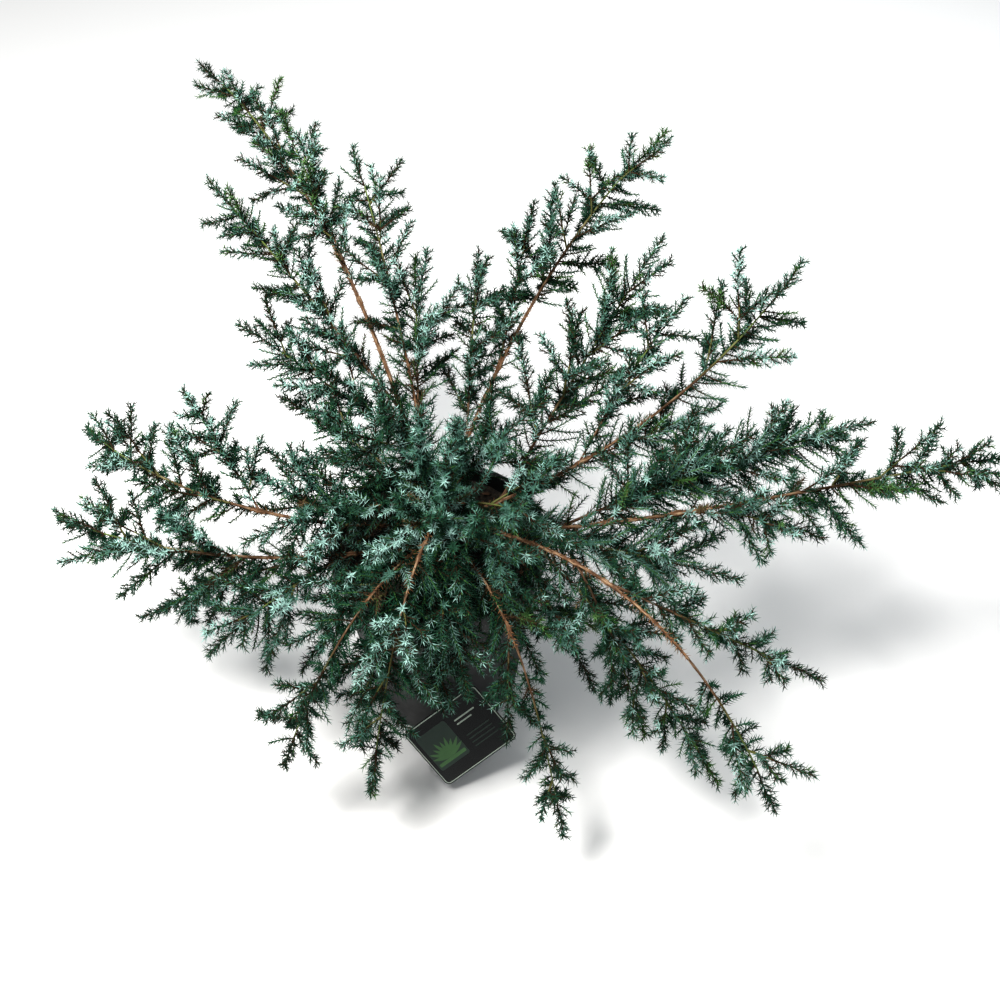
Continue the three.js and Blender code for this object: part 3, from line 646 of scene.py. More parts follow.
def grow_mass(me, m):
    """The stem of one mass and all the sprays on it."""
    draw = stream(SEED + me * SEED_STEP)
    path = mass_path(m)
    length = path_length(path)
    last = min(MOST_LEAD, max(LEAST_LEAD, m["wide"] * LEAD_SHARE))
    end = 1 - last * LEAD_INSIDE / length
    count = round(length * end / SPACING)
    lead = fits(me, path(end), tangent(path, (1 + end) / 2), last, last * FAT["lead"], LEAD)
    sprays = [lead] if lead else []
    twigs = []
    for k in range(count - 1, -1, -1):
        u = end * (k + 0.5) / count
        if u < m.get("start", SHOOTS_FROM):
            break
        way = tangent(path, u)
        reach = m["wide"] * (REACH + REACH_MORE * draw()) * (WIDE_FOOT - TAPER * u)
        for attempt in range(TRIES):
            side = (k + attempt) % 3
            roll = TWIST * (k + 0.5) + math.pi / 3 * (1 + 2 * side) + ROLL_PLAY * (draw() - 0.5)
            out = turned(way, math.radians(LEAN + LEAN_MORE * draw()), roll)
            foot = path(u) + out * FOOT_OFF
            if k % 3 == 1:
                grown = grow_fork(me, foot, out, roll, reach, draw, k)
                if grown:
                    twigs.append(grown["twig"])
                    sprays.extend(grown["sprays"])
                    break
            else:
                spray = fits(me, foot, out, reach, reach * FAT["shoot"], k)
                if spray:
                    sprays.append(spray)
                    break
    return {"path": path, "length": length, "end": end, "sprays": sprays, "twigs": twigs}


grown = {name: grow_mass(i, m) for i, (name, m) in enumerate(MASSES.items())}
print("sprays:", sum(len(g["sprays"]) for g in grown.values()))
print("forked twigs:", sum(len(g["twigs"]) for g in grown.values()))

# %% [markdown]
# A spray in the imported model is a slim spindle. On the real plant it is a little branch: a thin
# axis with side shoots that lean forwards all round it, each clad in needles that stand in
# threes. Modelling this with particles would be quick to set up, but particles are lost when a
# plant is exported, so each shoot is written down as a row in a table instead: its foot, its
# tip, how far it bows, how thick it is, and how its needles stand.

# %% A table of fine shoots
TONES = ("silver", "blue", "deep", "fresh", "old", "dry")
BLUE, DEEP, OLD, DRY = (TONES.index(tone) for tone in ("blue", "deep", "old", "dry"))


class Shoots:
    """Rows of foot, tip, bend, and the numbers that say how a shoot and its needles look."""

    columns = ("thick", "thin", "first", "open_old", "open_young", "leaf", "gap", "tone", "brown")

    def __init__(self):
        self.foot = []
        self.tip = []
        self.bend = []
        self.rest = []

    def add(self, foot, tip, bend, **rest):
        self.foot.append(foot)
        self.tip.append(tip)
        self.bend.append(bend)
        self.rest.append([rest[c] for c in self.columns])

    def table(self):
        rest = np.array(self.rest).T
        out = {"foot": np.array(self.foot), "tip": np.array(self.tip), "bend": np.array(self.bend)}
        out.update(zip(self.columns, rest))
        return out


def bent(foot, tip, bend, s):
    """A point at share s of a shoot that bows by `bend` at its middle."""
    return foot + (tip - foot) * s + 4 * bend * s * (1 - s)


print("columns beside foot, tip and bend:", len(Shoots.columns))

# %% [markdown]
# The tone of each shoot depends on where it grows. Silver wax and deep green are both real colours
# of this juniper, but which shoots take them by place is painted light: high up and far out, where
# the light falls, more shoots are pale silver, a painted highlight, and in the shaded inside more
# are deep green, a painted shade. Here and there a young shoot is fresh yellow-green. The crown is
# open on one side, where the compost and the far rim of the pot show, so no fine shoot may grow
# through that opening. It is a straight tunnel up to the light, with a foot, a way and a radius.

# %% Tones by place, and the opening in the crown
OPENING = {"foot": (58, 74, 230), "way": (0.013, -0.694, 0.72), "radius": 25}
LOW = 120
HIGH_SPAN = 330
FAR_OUT = 420


def pick_tone(at, rng):
    """A tone for a shoot at a place, with painted light: paler high and far out, deeper inside."""
    high = min(1, max(0, (at[2] - LOW) / HIGH_SPAN))
    far = min(1, math.hypot(at[0], at[1]) / FAR_OUT)
    # Painted light: high, far-out shoots lean to pale silver, a painted highlight, and low, inner ones to
    # deep green, a painted shade.
    lit = 0.6 * high + 0.4 * far
    chances = (0.14 + 0.26 * lit, 0.35, 0.4 - 0.26 * lit, 0.02 * far + 0.1 * far * far)
    mark = rng.random() * sum(chances)
    for tone, chance in enumerate(chances):
        mark -= chance
        if mark < 0:
            return tone
    return BLUE


def in_opening(p):
    """Whether a point lies in the opening of the crown."""
    way = np.array(OPENING["way"])
    off = p - np.array(OPENING["foot"])
    return np.linalg.norm(off - way * (off @ way)) < OPENING["radius"]


print("the middle of the crown is in the opening:", in_opening(np.array([0, 0, TRUNK_TOP])))

# %% [markdown]
# Side shoots turn round a spray by the golden angle, as they do on most plants, so that none
# sits right above another. They are longest at the waist of the spindle. The boughs of the real
# plant show from above as lines of bare bark, so on the masses that carry a bough to its tip
# none grows on the upper side close to the foot of a spray. What a shoot of each kind is like
# stands in one row: half its thickness at its foot and its tip, the share of its length where
# its needles start, how many degrees they open at its foot and its tip, how long they are, and
# the gap from each three to the next.

# %% From a spray to its side shoots
GOLDEN = 2.4
ANY_TURN = (0, 6.28)
AXIS = dict(thick=1.1, thin=0.55, first=0.04, open_old=68, open_young=36, leaf=7.5, gap=2.6)
SIDE = dict(thick=0.9, thin=0.5, first=0.1, open_old=66, open_young=38, leaf=7.1, gap=2.2)
AXIS_BROWN = 0.3
SIDE_BROWN = 0.1
SIDE_BROWNER = 0.5
SIDE_FROM = 0.08
SIDE_SPAN = 0.86
SIDE_GAP = 2.55
SIDE_LEAN = (38, 54)
SIDE_REACH = (0.68, 1.05)
SIDE_LEAST = 7
SIDE_MOST = 24
SAME_TONE = 0.68
BARE_FOOT = 0.24


def width_at(s):
    """How wide a spray is at share s of its length, as a share of its widest."""
    return 0.4 + 0.6 * s / WAIST if s < WAIST else 1 - 0.62 * (s - WAIST) / (1 - WAIST)


def leafy(shoots, spray, tone, on_bough, rng):
    """Turn one spray into its axis and its side shoots; none hides the top of a bough."""
    foot, tip, radius = spray["foot"], spray["tip"], spray["radius"]
    length = np.linalg.norm(tip - foot)
    way = (tip - foot) / length
    bend = turned(way, math.pi / 2, rng.uniform(*ANY_TURN)) * length * rng.uniform(0.01, 0.05)
    shoots.add(foot, tip, bend, **AXIS, tone=tone, brown=AXIS_BROWN)
    count = int(length * SIDE_SPAN / SIDE_GAP)
    roll = rng.uniform(*ANY_TURN)
    for i in range(count):
        s = SIDE_FROM + SIDE_SPAN * (i + 0.5 + rng.uniform(-0.3, 0.3)) / count
        roll += GOLDEN + rng.normal(0, 0.25)
        lean = math.radians(rng.uniform(*SIDE_LEAN))
        reach = radius * width_at(s) / math.sin(lean) * rng.uniform(*SIDE_REACH)
        reach = min(SIDE_MOST, max(SIDE_LEAST, reach))
        out = turned(way, lean, roll)
        at = bent(foot, tip, bend, s)
        end = at + out * reach + way * reach * 0.1
        if in_opening(end) or in_opening((at + end) / 2):
            continue
        if on_bough and s < BARE_FOOT and out[2] > 0.1:
            continue
        bow = out * reach * 0.03 - way * reach * 0.05
        own = tone if rng.random() < SAME_TONE else pick_tone(end, rng)
        brown = SIDE_BROWN if rng.random() < 0.88 else SIDE_BROWNER
        shoots.add(at, end, bow, **SIDE, tone=own, brown=brown)


print("side shoots on a spray 75 mm long:", int(75 * SIDE_SPAN / SIDE_GAP))

# %% [markdown]
# Short extra shoots along the stems fill the core of each mass, and near the foot of a stem
# some are old and brown. The forked twigs carry a few. The boughs carry them too, thick round the
# trunk, where they hide the fork, and ever fewer further out, so that each limb slips out of
# the crown. The stems that carry a bough to its tip, and the boughs that show from above, keep
# their upper side bare.

# %% Short shoots
SHORT = dict(thick=0.9, thin=0.5, first=0.05, open_old=66, open_young=38, leaf=7.4, gap=2.3)
SHORT_LEAN = (40, 70)
SHORT_BROWN = 0.4
SHORT_ROOM = 3


def short_shoot(shoots, path, u, roll, reach, old, rng):
    """One short shoot at share u of a limb, left out where it would touch pot or compost."""
    way = tangent(path, u)
    out = turned(way, math.radians(rng.uniform(*SHORT_LEAN)), roll)
    foot = path(u)
    tip = foot + out * reach
    if above_ground(tip, SHORT_ROOM) < 0 or in_opening(tip) or in_opening((foot + tip) / 2):
        return
    tone = OLD if rng.random() < old else pick_tone(tip, rng)
    shoots.add(foot, tip, -way * reach * 0.06, **SHORT, tone=tone, brown=SHORT_BROWN)


print("needles open by", SHORT["open_old"], "degrees at the foot of a short shoot")

# %% Fill a mass
FILL_REACH = (0.18, 0.44)
FILL_FOOT = 0.4
FILL_OLD = 0.14
BARE_TOP = 0.8
TWIG_GAP = 5.0
TWIG_REACH = (10, 18)
TWIG_OLD = 0.05


def fill(shoots, mass, g, gap, bushy, rng):
    """Short shoots straight from the stem of a mass, one for each `gap` of its length."""
    start = mass.get("start", SHOOTS_FROM) * FILL_FOOT
    count = int(g["length"] * (g["end"] - start) / gap * bushy)
    roll = rng.uniform(*ANY_TURN)
    for i in range(count):
        u = start + (g["end"] - start) * (i + rng.uniform(0.2, 0.8)) / count
        roll += GOLDEN + rng.normal(0, 0.3)
        if "tip" not in mass and u < BARE_TOP and math.cos(roll) > 0.1:
            continue
        reach = mass["wide"] * rng.uniform(*FILL_REACH) * (0.5 + 0.5 * bushy)
        short_shoot(shoots, g["path"], u, roll, reach, FILL_OLD - 0.4 * u, rng)
    for foot, fork in g["twigs"]:
        count = int(np.linalg.norm(fork - foot) / TWIG_GAP)
        along = lambda s: foot + (fork - foot) * s
        for i in range(count):
            roll += GOLDEN
            reach = rng.uniform(*TWIG_REACH)
            short_shoot(shoots, along, (i + 0.5) / count, roll, reach, TWIG_OLD, rng)


print("short shoots on a forked twig 30 mm long:", int(30 / TWIG_GAP))

# %% Clothe a bough
BOUGH_BARE = 16
BOUGH_CLOTHED = 160
BOUGH_HIDDEN = 45
BOUGH_GAP = 1.5
BOUGH_THINNING = 60
BOUGH_REACH = (24, 40)
BOUGH_OLD = 0.06
BARE_TOPPED = ("back_left", "back_right", "left", "right_front", "front_right", "front")


def clothe(shoots, b, bare_top, rng):
    """Short shoots round the first part of a bough, fewer and fewer further out."""
    roll = rng.uniform(*ANY_TURN)
    out = BOUGH_BARE
    while out < BOUGH_CLOTHED:
        roll += GOLDEN + rng.normal(0, 0.3)
        reach = rng.uniform(*BOUGH_REACH)
        along = lambda t: bough_point(b, t)
        if out < BOUGH_HIDDEN or not bare_top or math.cos(roll) < 0.3:
            short_shoot(shoots, along, out / b["reach"], roll, reach, BOUGH_OLD, rng)
        out += BOUGH_GAP * (1 + out / BOUGH_THINNING)


print("boughs with a bare top:", len(BARE_TOPPED))

# %% [markdown]
# Six sectors of the plant each get a table, because one mesh of nearly a million triangles is
# slow to handle. How bushy a mass is was judged against the photograph: the skirts over the rim
# and the masses beside the right bough are the fullest. A mass that isn't named here takes 1, or
# more where it carries a bough to its tip, because its upper side is bare.

# %% Fill the tables
SECTORS = {
    "back": ("back_left", "back"),
    "back_right": ("back_right", "right_back"),
    "right": ("right",),
    "front": ("right_front", "front_right", "front"),
    "left": ("front_left", "left_front", "left"),
    "crown": ("stem",),
}
FILL_GAP = {"crown": 1.9, "others": 3.6}
BUSHY_END = 1.6
BUSHY = {
    "skirt_front": 2.5, "skirt_right": 2.3, "front_side": 2.0, "front_left_out": 1.7,
    "left_front_side": 1.3, "left_front_low": 1.5, "left_back": 1.4, "crown_front": 1.1,
    "back_left_low": 1.35, "back_left_outer": 1.25, "back_side": 1.2, "back_right_low": 1.3,
    "right_upper": 2.3, "right_low": 2.1, "right_mid": 2.0, "right_back_low": 1.8,
    "right_side": 1.5, "right_front_side": 1.2,
}

tables = {}
for number, (sector, limbs) in enumerate(SECTORS.items()):
    rng = np.random.default_rng(100 + number)
    shoots = Shoots()
    for name, mass in MASSES.items():
        if mass["on"] in limbs:
            for spray in grown[name]["sprays"]:
                tone = pick_tone((spray["foot"] + spray["tip"]) / 2, rng)
                leafy(shoots, spray, tone, "tip" not in mass, rng)
            gap = FILL_GAP.get(sector, FILL_GAP["others"])
            bushy = BUSHY.get(name, 1 if "tip" in mass else BUSHY_END)
            fill(shoots, mass, grown[name], gap, bushy, rng)
    for name in limbs:
        if name in BOUGHS:
            clothe(shoots, BOUGHS[name], name in BARE_TOPPED, rng)
    tables[sector] = shoots.table()
    print(sector, "shoots:", len(tables[sector]["foot"]))

# %% [markdown]
# A needle of this juniper is about 7 mm long and shaped like an awl: widest where it clasps the
# twig and drawn out to a point. The face that looks towards the tip of its shoot is flat and
# pale with wax, and the back is green with a keel. Three triangles have just that form, one on
# top and two meeting at the keel, and its open end is hidden in the twig. The pale tops are
# what make a shoot that points at the viewer look like a silver star, so top and back get a
# colour each. The needles stand in threes, each three turned by a sixth of a circle from the
# last, wide open on old wood and closed to a bud at the tip.

# %% Two directions across many
def across_all(way):
    """Two unit vectors across each of many directions."""
    ref = np.where(np.abs(way[..., 2:]) < 0.995, [0.0, 0, 1], [0.0, 1, 0])
    right = np.cross(way, ref)
    right /= np.linalg.norm(right, axis=-1, keepdims=True)
    return right, np.cross(right, way)


def unit_all(v):
    """The same directions with a length of one each."""
    return v / np.linalg.norm(v, axis=-1, keepdims=True)


print("across the way up:", [v.round(1).tolist() for v in across_all(np.array([[0.0, 0, 1]]))])

# %% Where each needle sits
WHORL = 3
WHORL_TURN = math.pi / 3


def needle_places(t, rng):
    """Which shoot each needle sits on, at what share of it, and which of how many it is."""
    length = np.linalg.norm(t["tip"] - t["foot"], axis=1)
    whorls = np.maximum(2, np.round((1 - t["first"]) * length / t["gap"])).astype(int)
    shoot = np.repeat(np.arange(len(length)), whorls)
    order = np.arange(len(shoot)) - np.repeat(np.cumsum(whorls) - whorls, whorls)
    s = t["first"][shoot] + (1 - t["first"][shoot]) * (order + 0.75) / whorls[shoot]
    shoot, order, s = (np.repeat(x, WHORL) for x in (shoot, order, s))
    n = len(shoot)
    leaf = np.tile(np.arange(WHORL), n // WHORL)
    s = np.clip(s + rng.normal(0, 0.25, n) * t["gap"][shoot] / length[shoot] * 0.5, 0.01, 1)
    first_roll = rng.uniform(*ANY_TURN, len(length))
    roll = first_roll[shoot] + order * WHORL_TURN + leaf * 2 * WHORL_TURN
    return shoot, s, roll + rng.normal(0, 0.16, n)


print("needles in a whorl:", WHORL)

# %% The form of a needle
NEEDLE_LONG = 7
NEEDLE_WIDE = 1.35
NEEDLE_KEEL = 0.5
NEEDLE_FACES = np.array([[0, 1, 3], [2, 0, 3], [1, 2, 3]])
NEEDLE_SIDES = np.array([0, 1, 1])
OPEN_CURVE = 2.2
OPEN_PLAY = 7
LONG_PLAY = (0.82, 1.14)
ROOTED = 0.6
# How far along a shoot, and for what share of its needles there, the deep green paints shade.
SHADED_TO = 0.35
SHADED_SHARE = 0.55


def needles(t, rng):
    """The needles of a table of shoots: points, triangles, and the material of each."""
    shoot, s, roll = needle_places(t, rng)
    n = len(shoot)
    foot, tip, bend = t["foot"][shoot], t["tip"][shoot], t["bend"][shoot]
    way = unit_all(tip - foot + 4 * bend * (1 - 2 * s)[:, None])
    right, up = across_all(way)
    side = up * np.cos(roll)[:, None] + right * np.sin(roll)[:, None]
    opening = t["open_old"][shoot] + (t["open_young"][shoot] - t["open_old"][shoot]) * s**OPEN_CURVE
    opening = np.radians(opening + rng.normal(0, OPEN_PLAY, n))[:, None]
    out = way * np.cos(opening) + side * np.sin(opening)
    top = way * np.sin(opening) - side * np.cos(opening)
    wide = np.cross(out, top)
    size = t["leaf"][shoot] * (1 - 0.3 * s**3) * rng.uniform(*LONG_PLAY, n)
    half = (NEEDLE_WIDE / 2) * (0.72 + 0.28 * size / NEEDLE_LONG)
    radius = t["thick"][shoot] + (t["thin"][shoot] - t["thick"][shoot]) * s
    root = bent(foot, tip, bend, s[:, None]) + side * (radius * ROOTED)[:, None]
    points = np.stack(
        [
            root + wide * half[:, None],
            root - wide * half[:, None],
            root - top * NEEDLE_KEEL,
            root + out * size[:, None],
        ],
        axis=1,
    )
    faces = NEEDLE_FACES[None] + 4 * np.arange(n)[:, None, None]
    tone = t["tone"][shoot].astype(int)
    # Painted shade: many needles near the foot of a shoot, inside the spray, take the deep green.
    shaded = (s < SHADED_TO) & (rng.random(n) < SHADED_SHARE) & (tone < OLD)
    tone = np.where(shaded, DEEP, tone)
    wears = tone[:, None] * 2 + NEEDLE_SIDES
    return points.reshape(-1, 3), faces.reshape(-1, 3), wears.ravel()


print("triangles in a needle:", len(NEEDLE_FACES))

# %% [markdown]
# Each tone is a pair of finishes: the waxy top, dull and pale, and the green back. The wax
# scatters light like powder, so the tops are rough and shine very little. The needles of a
# sector then make one piece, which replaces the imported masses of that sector.

# %% The needles of the plant
NEEDLE_COLOURS = {
    "silver": ((0.335, 0.54, 0.49), (0.021, 0.078, 0.044)),
    "blue": ((0.088, 0.195, 0.155), (0.01, 0.048, 0.025)),
    # The deep tone is a real dark green, and it also paints the shade inside the crown and the sprays.
    "deep": ((0.02, 0.068, 0.04), (0.003, 0.018, 0.009)),
    "fresh": ((0.09, 0.19, 0.065), (0.03, 0.1, 0.02)),
    "old": ((0.11, 0.075, 0.04), (0.045, 0.03, 0.016)),
    "dry": ((0.42, 0.24, 0.12), (0.26, 0.13, 0.06)),
}
needle_finishes = []
for tone in TONES:
    pale, green = NEEDLE_COLOURS[tone]
    needle_finishes.append(plain_finish(f"needle_{tone}_top", pale, 0.65, 0.15))
    needle_finishes.append(plain_finish(f"needle_{tone}_back", green, 0.5, 0.12))


def nodes_in(sector):
    """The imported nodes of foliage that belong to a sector."""
    return [f"foliage_{name}" for name, m in MASSES.items() if m["on"] in SECTORS[sector]]


total = 0
for number, (sector, table) in enumerate(tables.items()):
    points, faces, wears = needles(table, np.random.default_rng(200 + number))
    piece = mesh_piece(f"needles_{sector}", points, faces, needle_finishes, wears)
    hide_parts(*nodes_in(sector))
    total += len(faces) // len(NEEDLE_FACES)
print("needles:", total)

# %% [markdown]
# Under the needles run the twigs. The fine ones are tapering three-sided rods, which is enough
# for something a millimetre or two thick. Only the longer ones bend enough to need more than
# one step. The older part of each is brown and the young part yellow-green, and that green
# shows between the needles near every tip.

# %% Thin rods
WOOD = 0
YOUNG = 1


def rod_faces(steps, sides):
    """The triangles of one closed rod, and the share of its length where each one is."""
    faces = []
    share = []
    for i in range(steps):
        for k in range(sides):
            a = i * sides + k
            b = i * sides + (k + 1) % sides
            faces += [(a, b, a + sides), (b, b + sides, a + sides)]
            share += [i / steps] * 2
    top = steps * sides
    for k in range(1, sides - 1):
        faces += [(0, k + 1, k), (top, top + k, top + k + 1)]
        share += [0, 1]
    return np.array(faces), np.array(share)


def thin_rods(t, steps, sides=3):
    """Rods for rows of a table of shoots, with the material of each triangle."""
    n = len(t["foot"])
    s = np.linspace(0, 1, steps + 1)[None, :, None]
    foot, tip, bend = (t[k][:, None, :] for k in ("foot", "tip", "bend"))
    middle = bent(foot, tip, bend, s)
    right, up = across_all(unit_all(tip - foot + 4 * bend * (1 - 2 * s)))
    radius = t["thick"][:, None, None] + (t["thin"] - t["thick"])[:, None, None] * s
    angles = 2 * math.pi * np.arange(sides) / sides
    rim = up[:, :, None] * np.cos(angles)[:, None] + right[:, :, None] * np.sin(angles)[:, None]
    points = middle[:, :, None] + rim * radius[..., None]
    faces, share = rod_faces(steps, sides)
    per = (steps + 1) * sides
    all_faces = faces[None] + per * np.arange(n)[:, None, None]
    wears = np.where(share[None] < t["brown"][:, None], WOOD, YOUNG)
    return points.reshape(-1, 3), all_faces.reshape(-1, 3), wears.ravel()


print("triangles in a rod of one step and of four:", *(len(rod_faces(k, 3)[0]) for k in (1, 4)))

# %% Fine twigs
ROD_STEPS = ((0, 15, 1), (15, 34, 2), (34, 999, 4))


def only(t, keep):
    """The rows of a table that are to be kept."""
    return {k: v[keep] for k, v in t.items()}


twig_finishes = [
    plain_finish("twig_wood", (0.045, 0.025, 0.014), 0.8, 0.1),
    plain_finish("twig_young", (0.055, 0.13, 0.035), 0.6, 0.15),
]
for sector, table in tables.items():
    patch = Patch()
    worn = []
    long = np.linalg.norm(table["tip"] - table["foot"], axis=1)
    for least, most, steps in ROD_STEPS:
        points, faces, wears = thin_rods(only(table, (long >= least) & (long < most)), steps)
        patch.add(points, faces)
        worn.append(wears)
    points, faces = patch.joined()
    piece = mesh_piece(f"twigs_{sector}", points, faces, twig_finishes, np.concatenate(worn))
    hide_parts(*nodes_in(sector))

# %% [markdown]
# Bark needs relief that catches the light. Each limb is a tube of many rings, and each corner of
# each ring is pushed in or out a little: long ridges that run with the grain, small flakes, and
# a swelling wherever a branch leaves. The mesh also stores a grain coordinate, so that the
# colours in the material can run along the limb instead of straight through it.

# %% Relief for bark
def smoothed(field, rings):
    """Blur a field of random numbers along a limb, over an odd number of rings."""
    if rings > 1:
        kernel = np.hanning(rings + 2)[1:-1]
        kernel /= kernel.sum()
        padded = np.pad(field, ((rings // 2, rings // 2), (0, 0)), mode="edge")
        field = np.apply_along_axis(lambda c: np.convolve(c, kernel, "valid"), 0, padded)
    return field / max(1e-9, field.std())


print("spread of a smoothed field:", round(float(smoothed(np.eye(9), 5).std()), 2))

# %% A limb with bark
RIDGES = 0.7
RIDGE_RINGS = 9
FLAKES = 0.35
SWELL = 0.04
SWELL_RINGS = 15
KNOT_HALF = 4.5
GRAIN_STRETCH = 0.16


def limb(path, radius, span, step, sides, relief, rng, knots=()):
    """A closed tube with bark: points, triangles and grain. Knots are (share, how far out)."""
    u0, u1 = span
    probe = np.array([path(u) for u in np.linspace(u0, u1, 40)])
    length = np.linalg.norm(np.diff(probe, axis=0), axis=1).sum()
    rings = max(3, int(length / step))
    shares = np.linspace(u0, u1, rings + 1)
    centre = np.array([path(u) for u in shares])
    way = unit_all(np.gradient(centre, axis=0))
    right = across(way[0])[0]
    rights = []
    for w in way:
        right = unit(right - w * (right @ w))
        rights.append(right)
    rights = np.array(rights)
    ups = np.cross(rights, way)
    ridges = smoothed(rng.normal(size=(rings + 1, sides)), min(RIDGE_RINGS, rings | 1))
    flakes = smoothed(rng.normal(size=(rings + 1, sides)), 1)
    swell = smoothed(rng.normal(size=(rings + 1, 1)), min(SWELL_RINGS, rings | 1))
    base = np.array([radius(u) for u in shares])[:, None]
    out = base * (1 + relief * (ridges * RIDGES + flakes * FLAKES) + SWELL * swell)
    for at, size in knots:
        out += size * np.exp(-(((shares - at) * length / (u1 - u0) / KNOT_HALF) ** 2))[:, None]
    angle = 2 * math.pi * np.arange(sides) / sides
    rim = ups[:, None] * np.cos(angle)[:, None] + rights[:, None] * np.sin(angle)[:, None]
    points = (centre[:, None] + rim * out[..., None]).reshape(-1, 3)
    run = np.linspace(0, length, rings + 1)[:, None] + 0 * angle
    grain = np.stack([np.cos(angle) * base, np.sin(angle) * base, run * GRAIN_STRETCH], axis=-1)
    i = np.arange(rings)[:, None] * sides
    k = np.arange(sides)[None]
    a, b = i + k, i + (k + 1) % sides
    skin = np.stack([np.stack([a, b, a + sides], -1), np.stack([b, b + sides, a + sides], -1)], 2)
    last = rings * sides
    caps = [(0, s + 1, s) for s in range(1, sides - 1)]
    caps += [(last, last + s, last + s + 1) for s in range(1, sides - 1)]
    return points, np.concatenate([skin.reshape(-1, 3), caps]), grain.reshape(-1, 3)


def add_grain(piece, grain):
    """Store the grain coordinate on the corners of a piece."""
    layer = piece.data.attributes.new("grain", "FLOAT_VECTOR", "POINT")
    layer.data.foreach_set("vector", np.asarray(grain, np.float32).ravel())


def add_age(piece, ages):
    """Store how young each corner of a piece is, from 0 at its foot to 1 at its tip."""
    layer = piece.data.attributes.new("age", "FLOAT", "POINT")
    layer.data.foreach_set("value", np.asarray(ages, np.float32))


trial = limb(lambda u: np.array([0, 0, 60 * u]), lambda u: 10, (0, 1), 1.6, 30, 0.05, rng)
print("triangles in a piece of limb 60 mm long:", len(trial[1]))

# %% [markdown]
# The bark material mixes dark brown, red-brown and tan along the grain, as the thin outer bark
# of a juniper peels in strips. A finer noise drives a small bump. It could be painted on an
# image, but noise in nodes has no seams and no size. A few helpers come first, because every
# larger material below is made the same way: noise, colours along the noise, and a bump.

# %% Helpers for materials from noise
def node_finish(name, roughness):
    """A material to build on: the material, its node tree and its shader."""
    material = bpy.data.materials.new(name)
    material.use_nodes = True
    tree = material.node_tree
    shader = tree.nodes["Principled BSDF"]
    shader.inputs["Roughness"].default_value = roughness
    return material, tree, shader


def noise(tree, vector, scale, detail=4.0, roughness=0.55):
    """Noise over a coordinate, from 0 to 1."""
    out = tree.nodes.new("ShaderNodeTexNoise")
    out.inputs["Scale"].default_value = scale
    out.inputs["Detail"].default_value = detail
    out.inputs["Roughness"].default_value = roughness
    tree.links.new(vector, out.inputs["Vector"])
    return out.outputs["Fac"]


def ramp(tree, factor, *stops):
    """Colours along a factor; each stop is a place and a colour."""
    out = tree.nodes.new("ShaderNodeValToRGB")
    while len(out.color_ramp.elements) < len(stops):
        out.color_ramp.elements.new(0.5)
    for element, (place, colour) in zip(out.color_ramp.elements, stops):
        element.position = place
        element.color = (*colour, 1)
    tree.links.new(factor, out.inputs["Fac"])
    return out.outputs["Color"]


def bump(tree, shader, height, strength, distance):
    """Fine relief in the light only; distance is in metres."""
    out = tree.nodes.new("ShaderNodeBump")
    out.inputs["Strength"].default_value = strength
    out.inputs["Distance"].default_value = distance
    tree.links.new(height, out.inputs["Height"])
    tree.links.new(out.outputs["Normal"], shader.inputs["Normal"])


print("materials so far:", len(bpy.data.materials))

# %% [markdown]
# There are four kinds of bark. The trunk's is the greyest. The boughs are bare and catch the
# light. Their ends wear the same bark, a little darker, and turn green towards the tip, where
# it has not formed yet. The thin stems of the side masses vary less and turn green too.

# %% Bark
def bark_finish(name, dark, middle, pale, young=None):
    """Bark along the grain; where `age` nears 1 at the end of a stem it turns to `young`."""
    material, tree, shader = node_finish(name, 0.85)
    shader.inputs["Specular IOR Level"].default_value = 0.2
    grain = tree.nodes.new("ShaderNodeAttribute")
    grain.attribute_name = "grain"
    patches = noise(tree, grain.outputs["Vector"], 0.5, 5, 0.6)
    colour = ramp(tree, patches, (0.3, dark), (0.5, middle), (0.68, pale))
    if young:
        age = tree.nodes.new("ShaderNodeAttribute")
        age.attribute_name = "age"
        blend = tree.nodes.new("ShaderNodeMix")
        blend.data_type = "RGBA"
        fade = ramp(tree, age.outputs["Fac"], (0.35, (0, 0, 0)), (0.85, (1, 1, 1)))
        tree.links.new(fade, blend.inputs["Factor"])
        tree.links.new(colour, blend.inputs["A"])
        blend.inputs["B"].default_value = (*young, 1)
        colour = blend.outputs["Result"]
    tree.links.new(colour, shader.inputs["Base Color"])
    bump(tree, shader, noise(tree, grain.outputs["Vector"], 1.3, 3), 0.7, 0.0005)
    return material


bough_bark = bark_finish(
    "bough_bark", (0.034, 0.018, 0.01), (0.115, 0.06, 0.032), (0.36, 0.25, 0.155)
)
stem_bark = bark_finish(
    "stem_bark", (0.035, 0.019, 0.011), (0.1, 0.055, 0.032), (0.24, 0.165, 0.105), (0.11, 0.16, 0.04)
)
tip_bark = bark_finish(
    "tip_bark", (0.032, 0.018, 0.01), (0.095, 0.052, 0.028), (0.27, 0.19, 0.12), (0.12, 0.17, 0.05)
)
trunk_bark = bark_finish(
    "trunk_bark", (0.06, 0.035, 0.022), (0.16, 0.095, 0.06), (0.3, 0.23, 0.17)
)
print("bark finishes:", bough_bark.name, tip_bark.name, stem_bark.name, trunk_bark.name)

# %% [markdown]
# Now the limbs themselves. The trunk is short, flared at its foot and cut flat on the compost.
# It narrows quickly over its last part, where the boughs spring from it.

# %% Trunk
TRUNK_LIFT = 0.3
TRUNK_CROWN = 0.85
TRUNK_CLOSING = 2.6


def trunk_path(u):
    """The middle of the trunk, from u = 0 on the compost to u = 1 at its top."""
    return np.array([0, 0, SOIL_Z + TRUNK_LIFT + u * (TRUNK_TOP - SOIL_Z)])


def trunk_shape(u):
    """The trunk's radius along the same way."""
    closing = 1 - TRUNK_CLOSING * max(0, u - TRUNK_CROWN)
    return trunk_radius(SOIL_Z + u * (TRUNK_TOP - SOIL_Z)) * closing


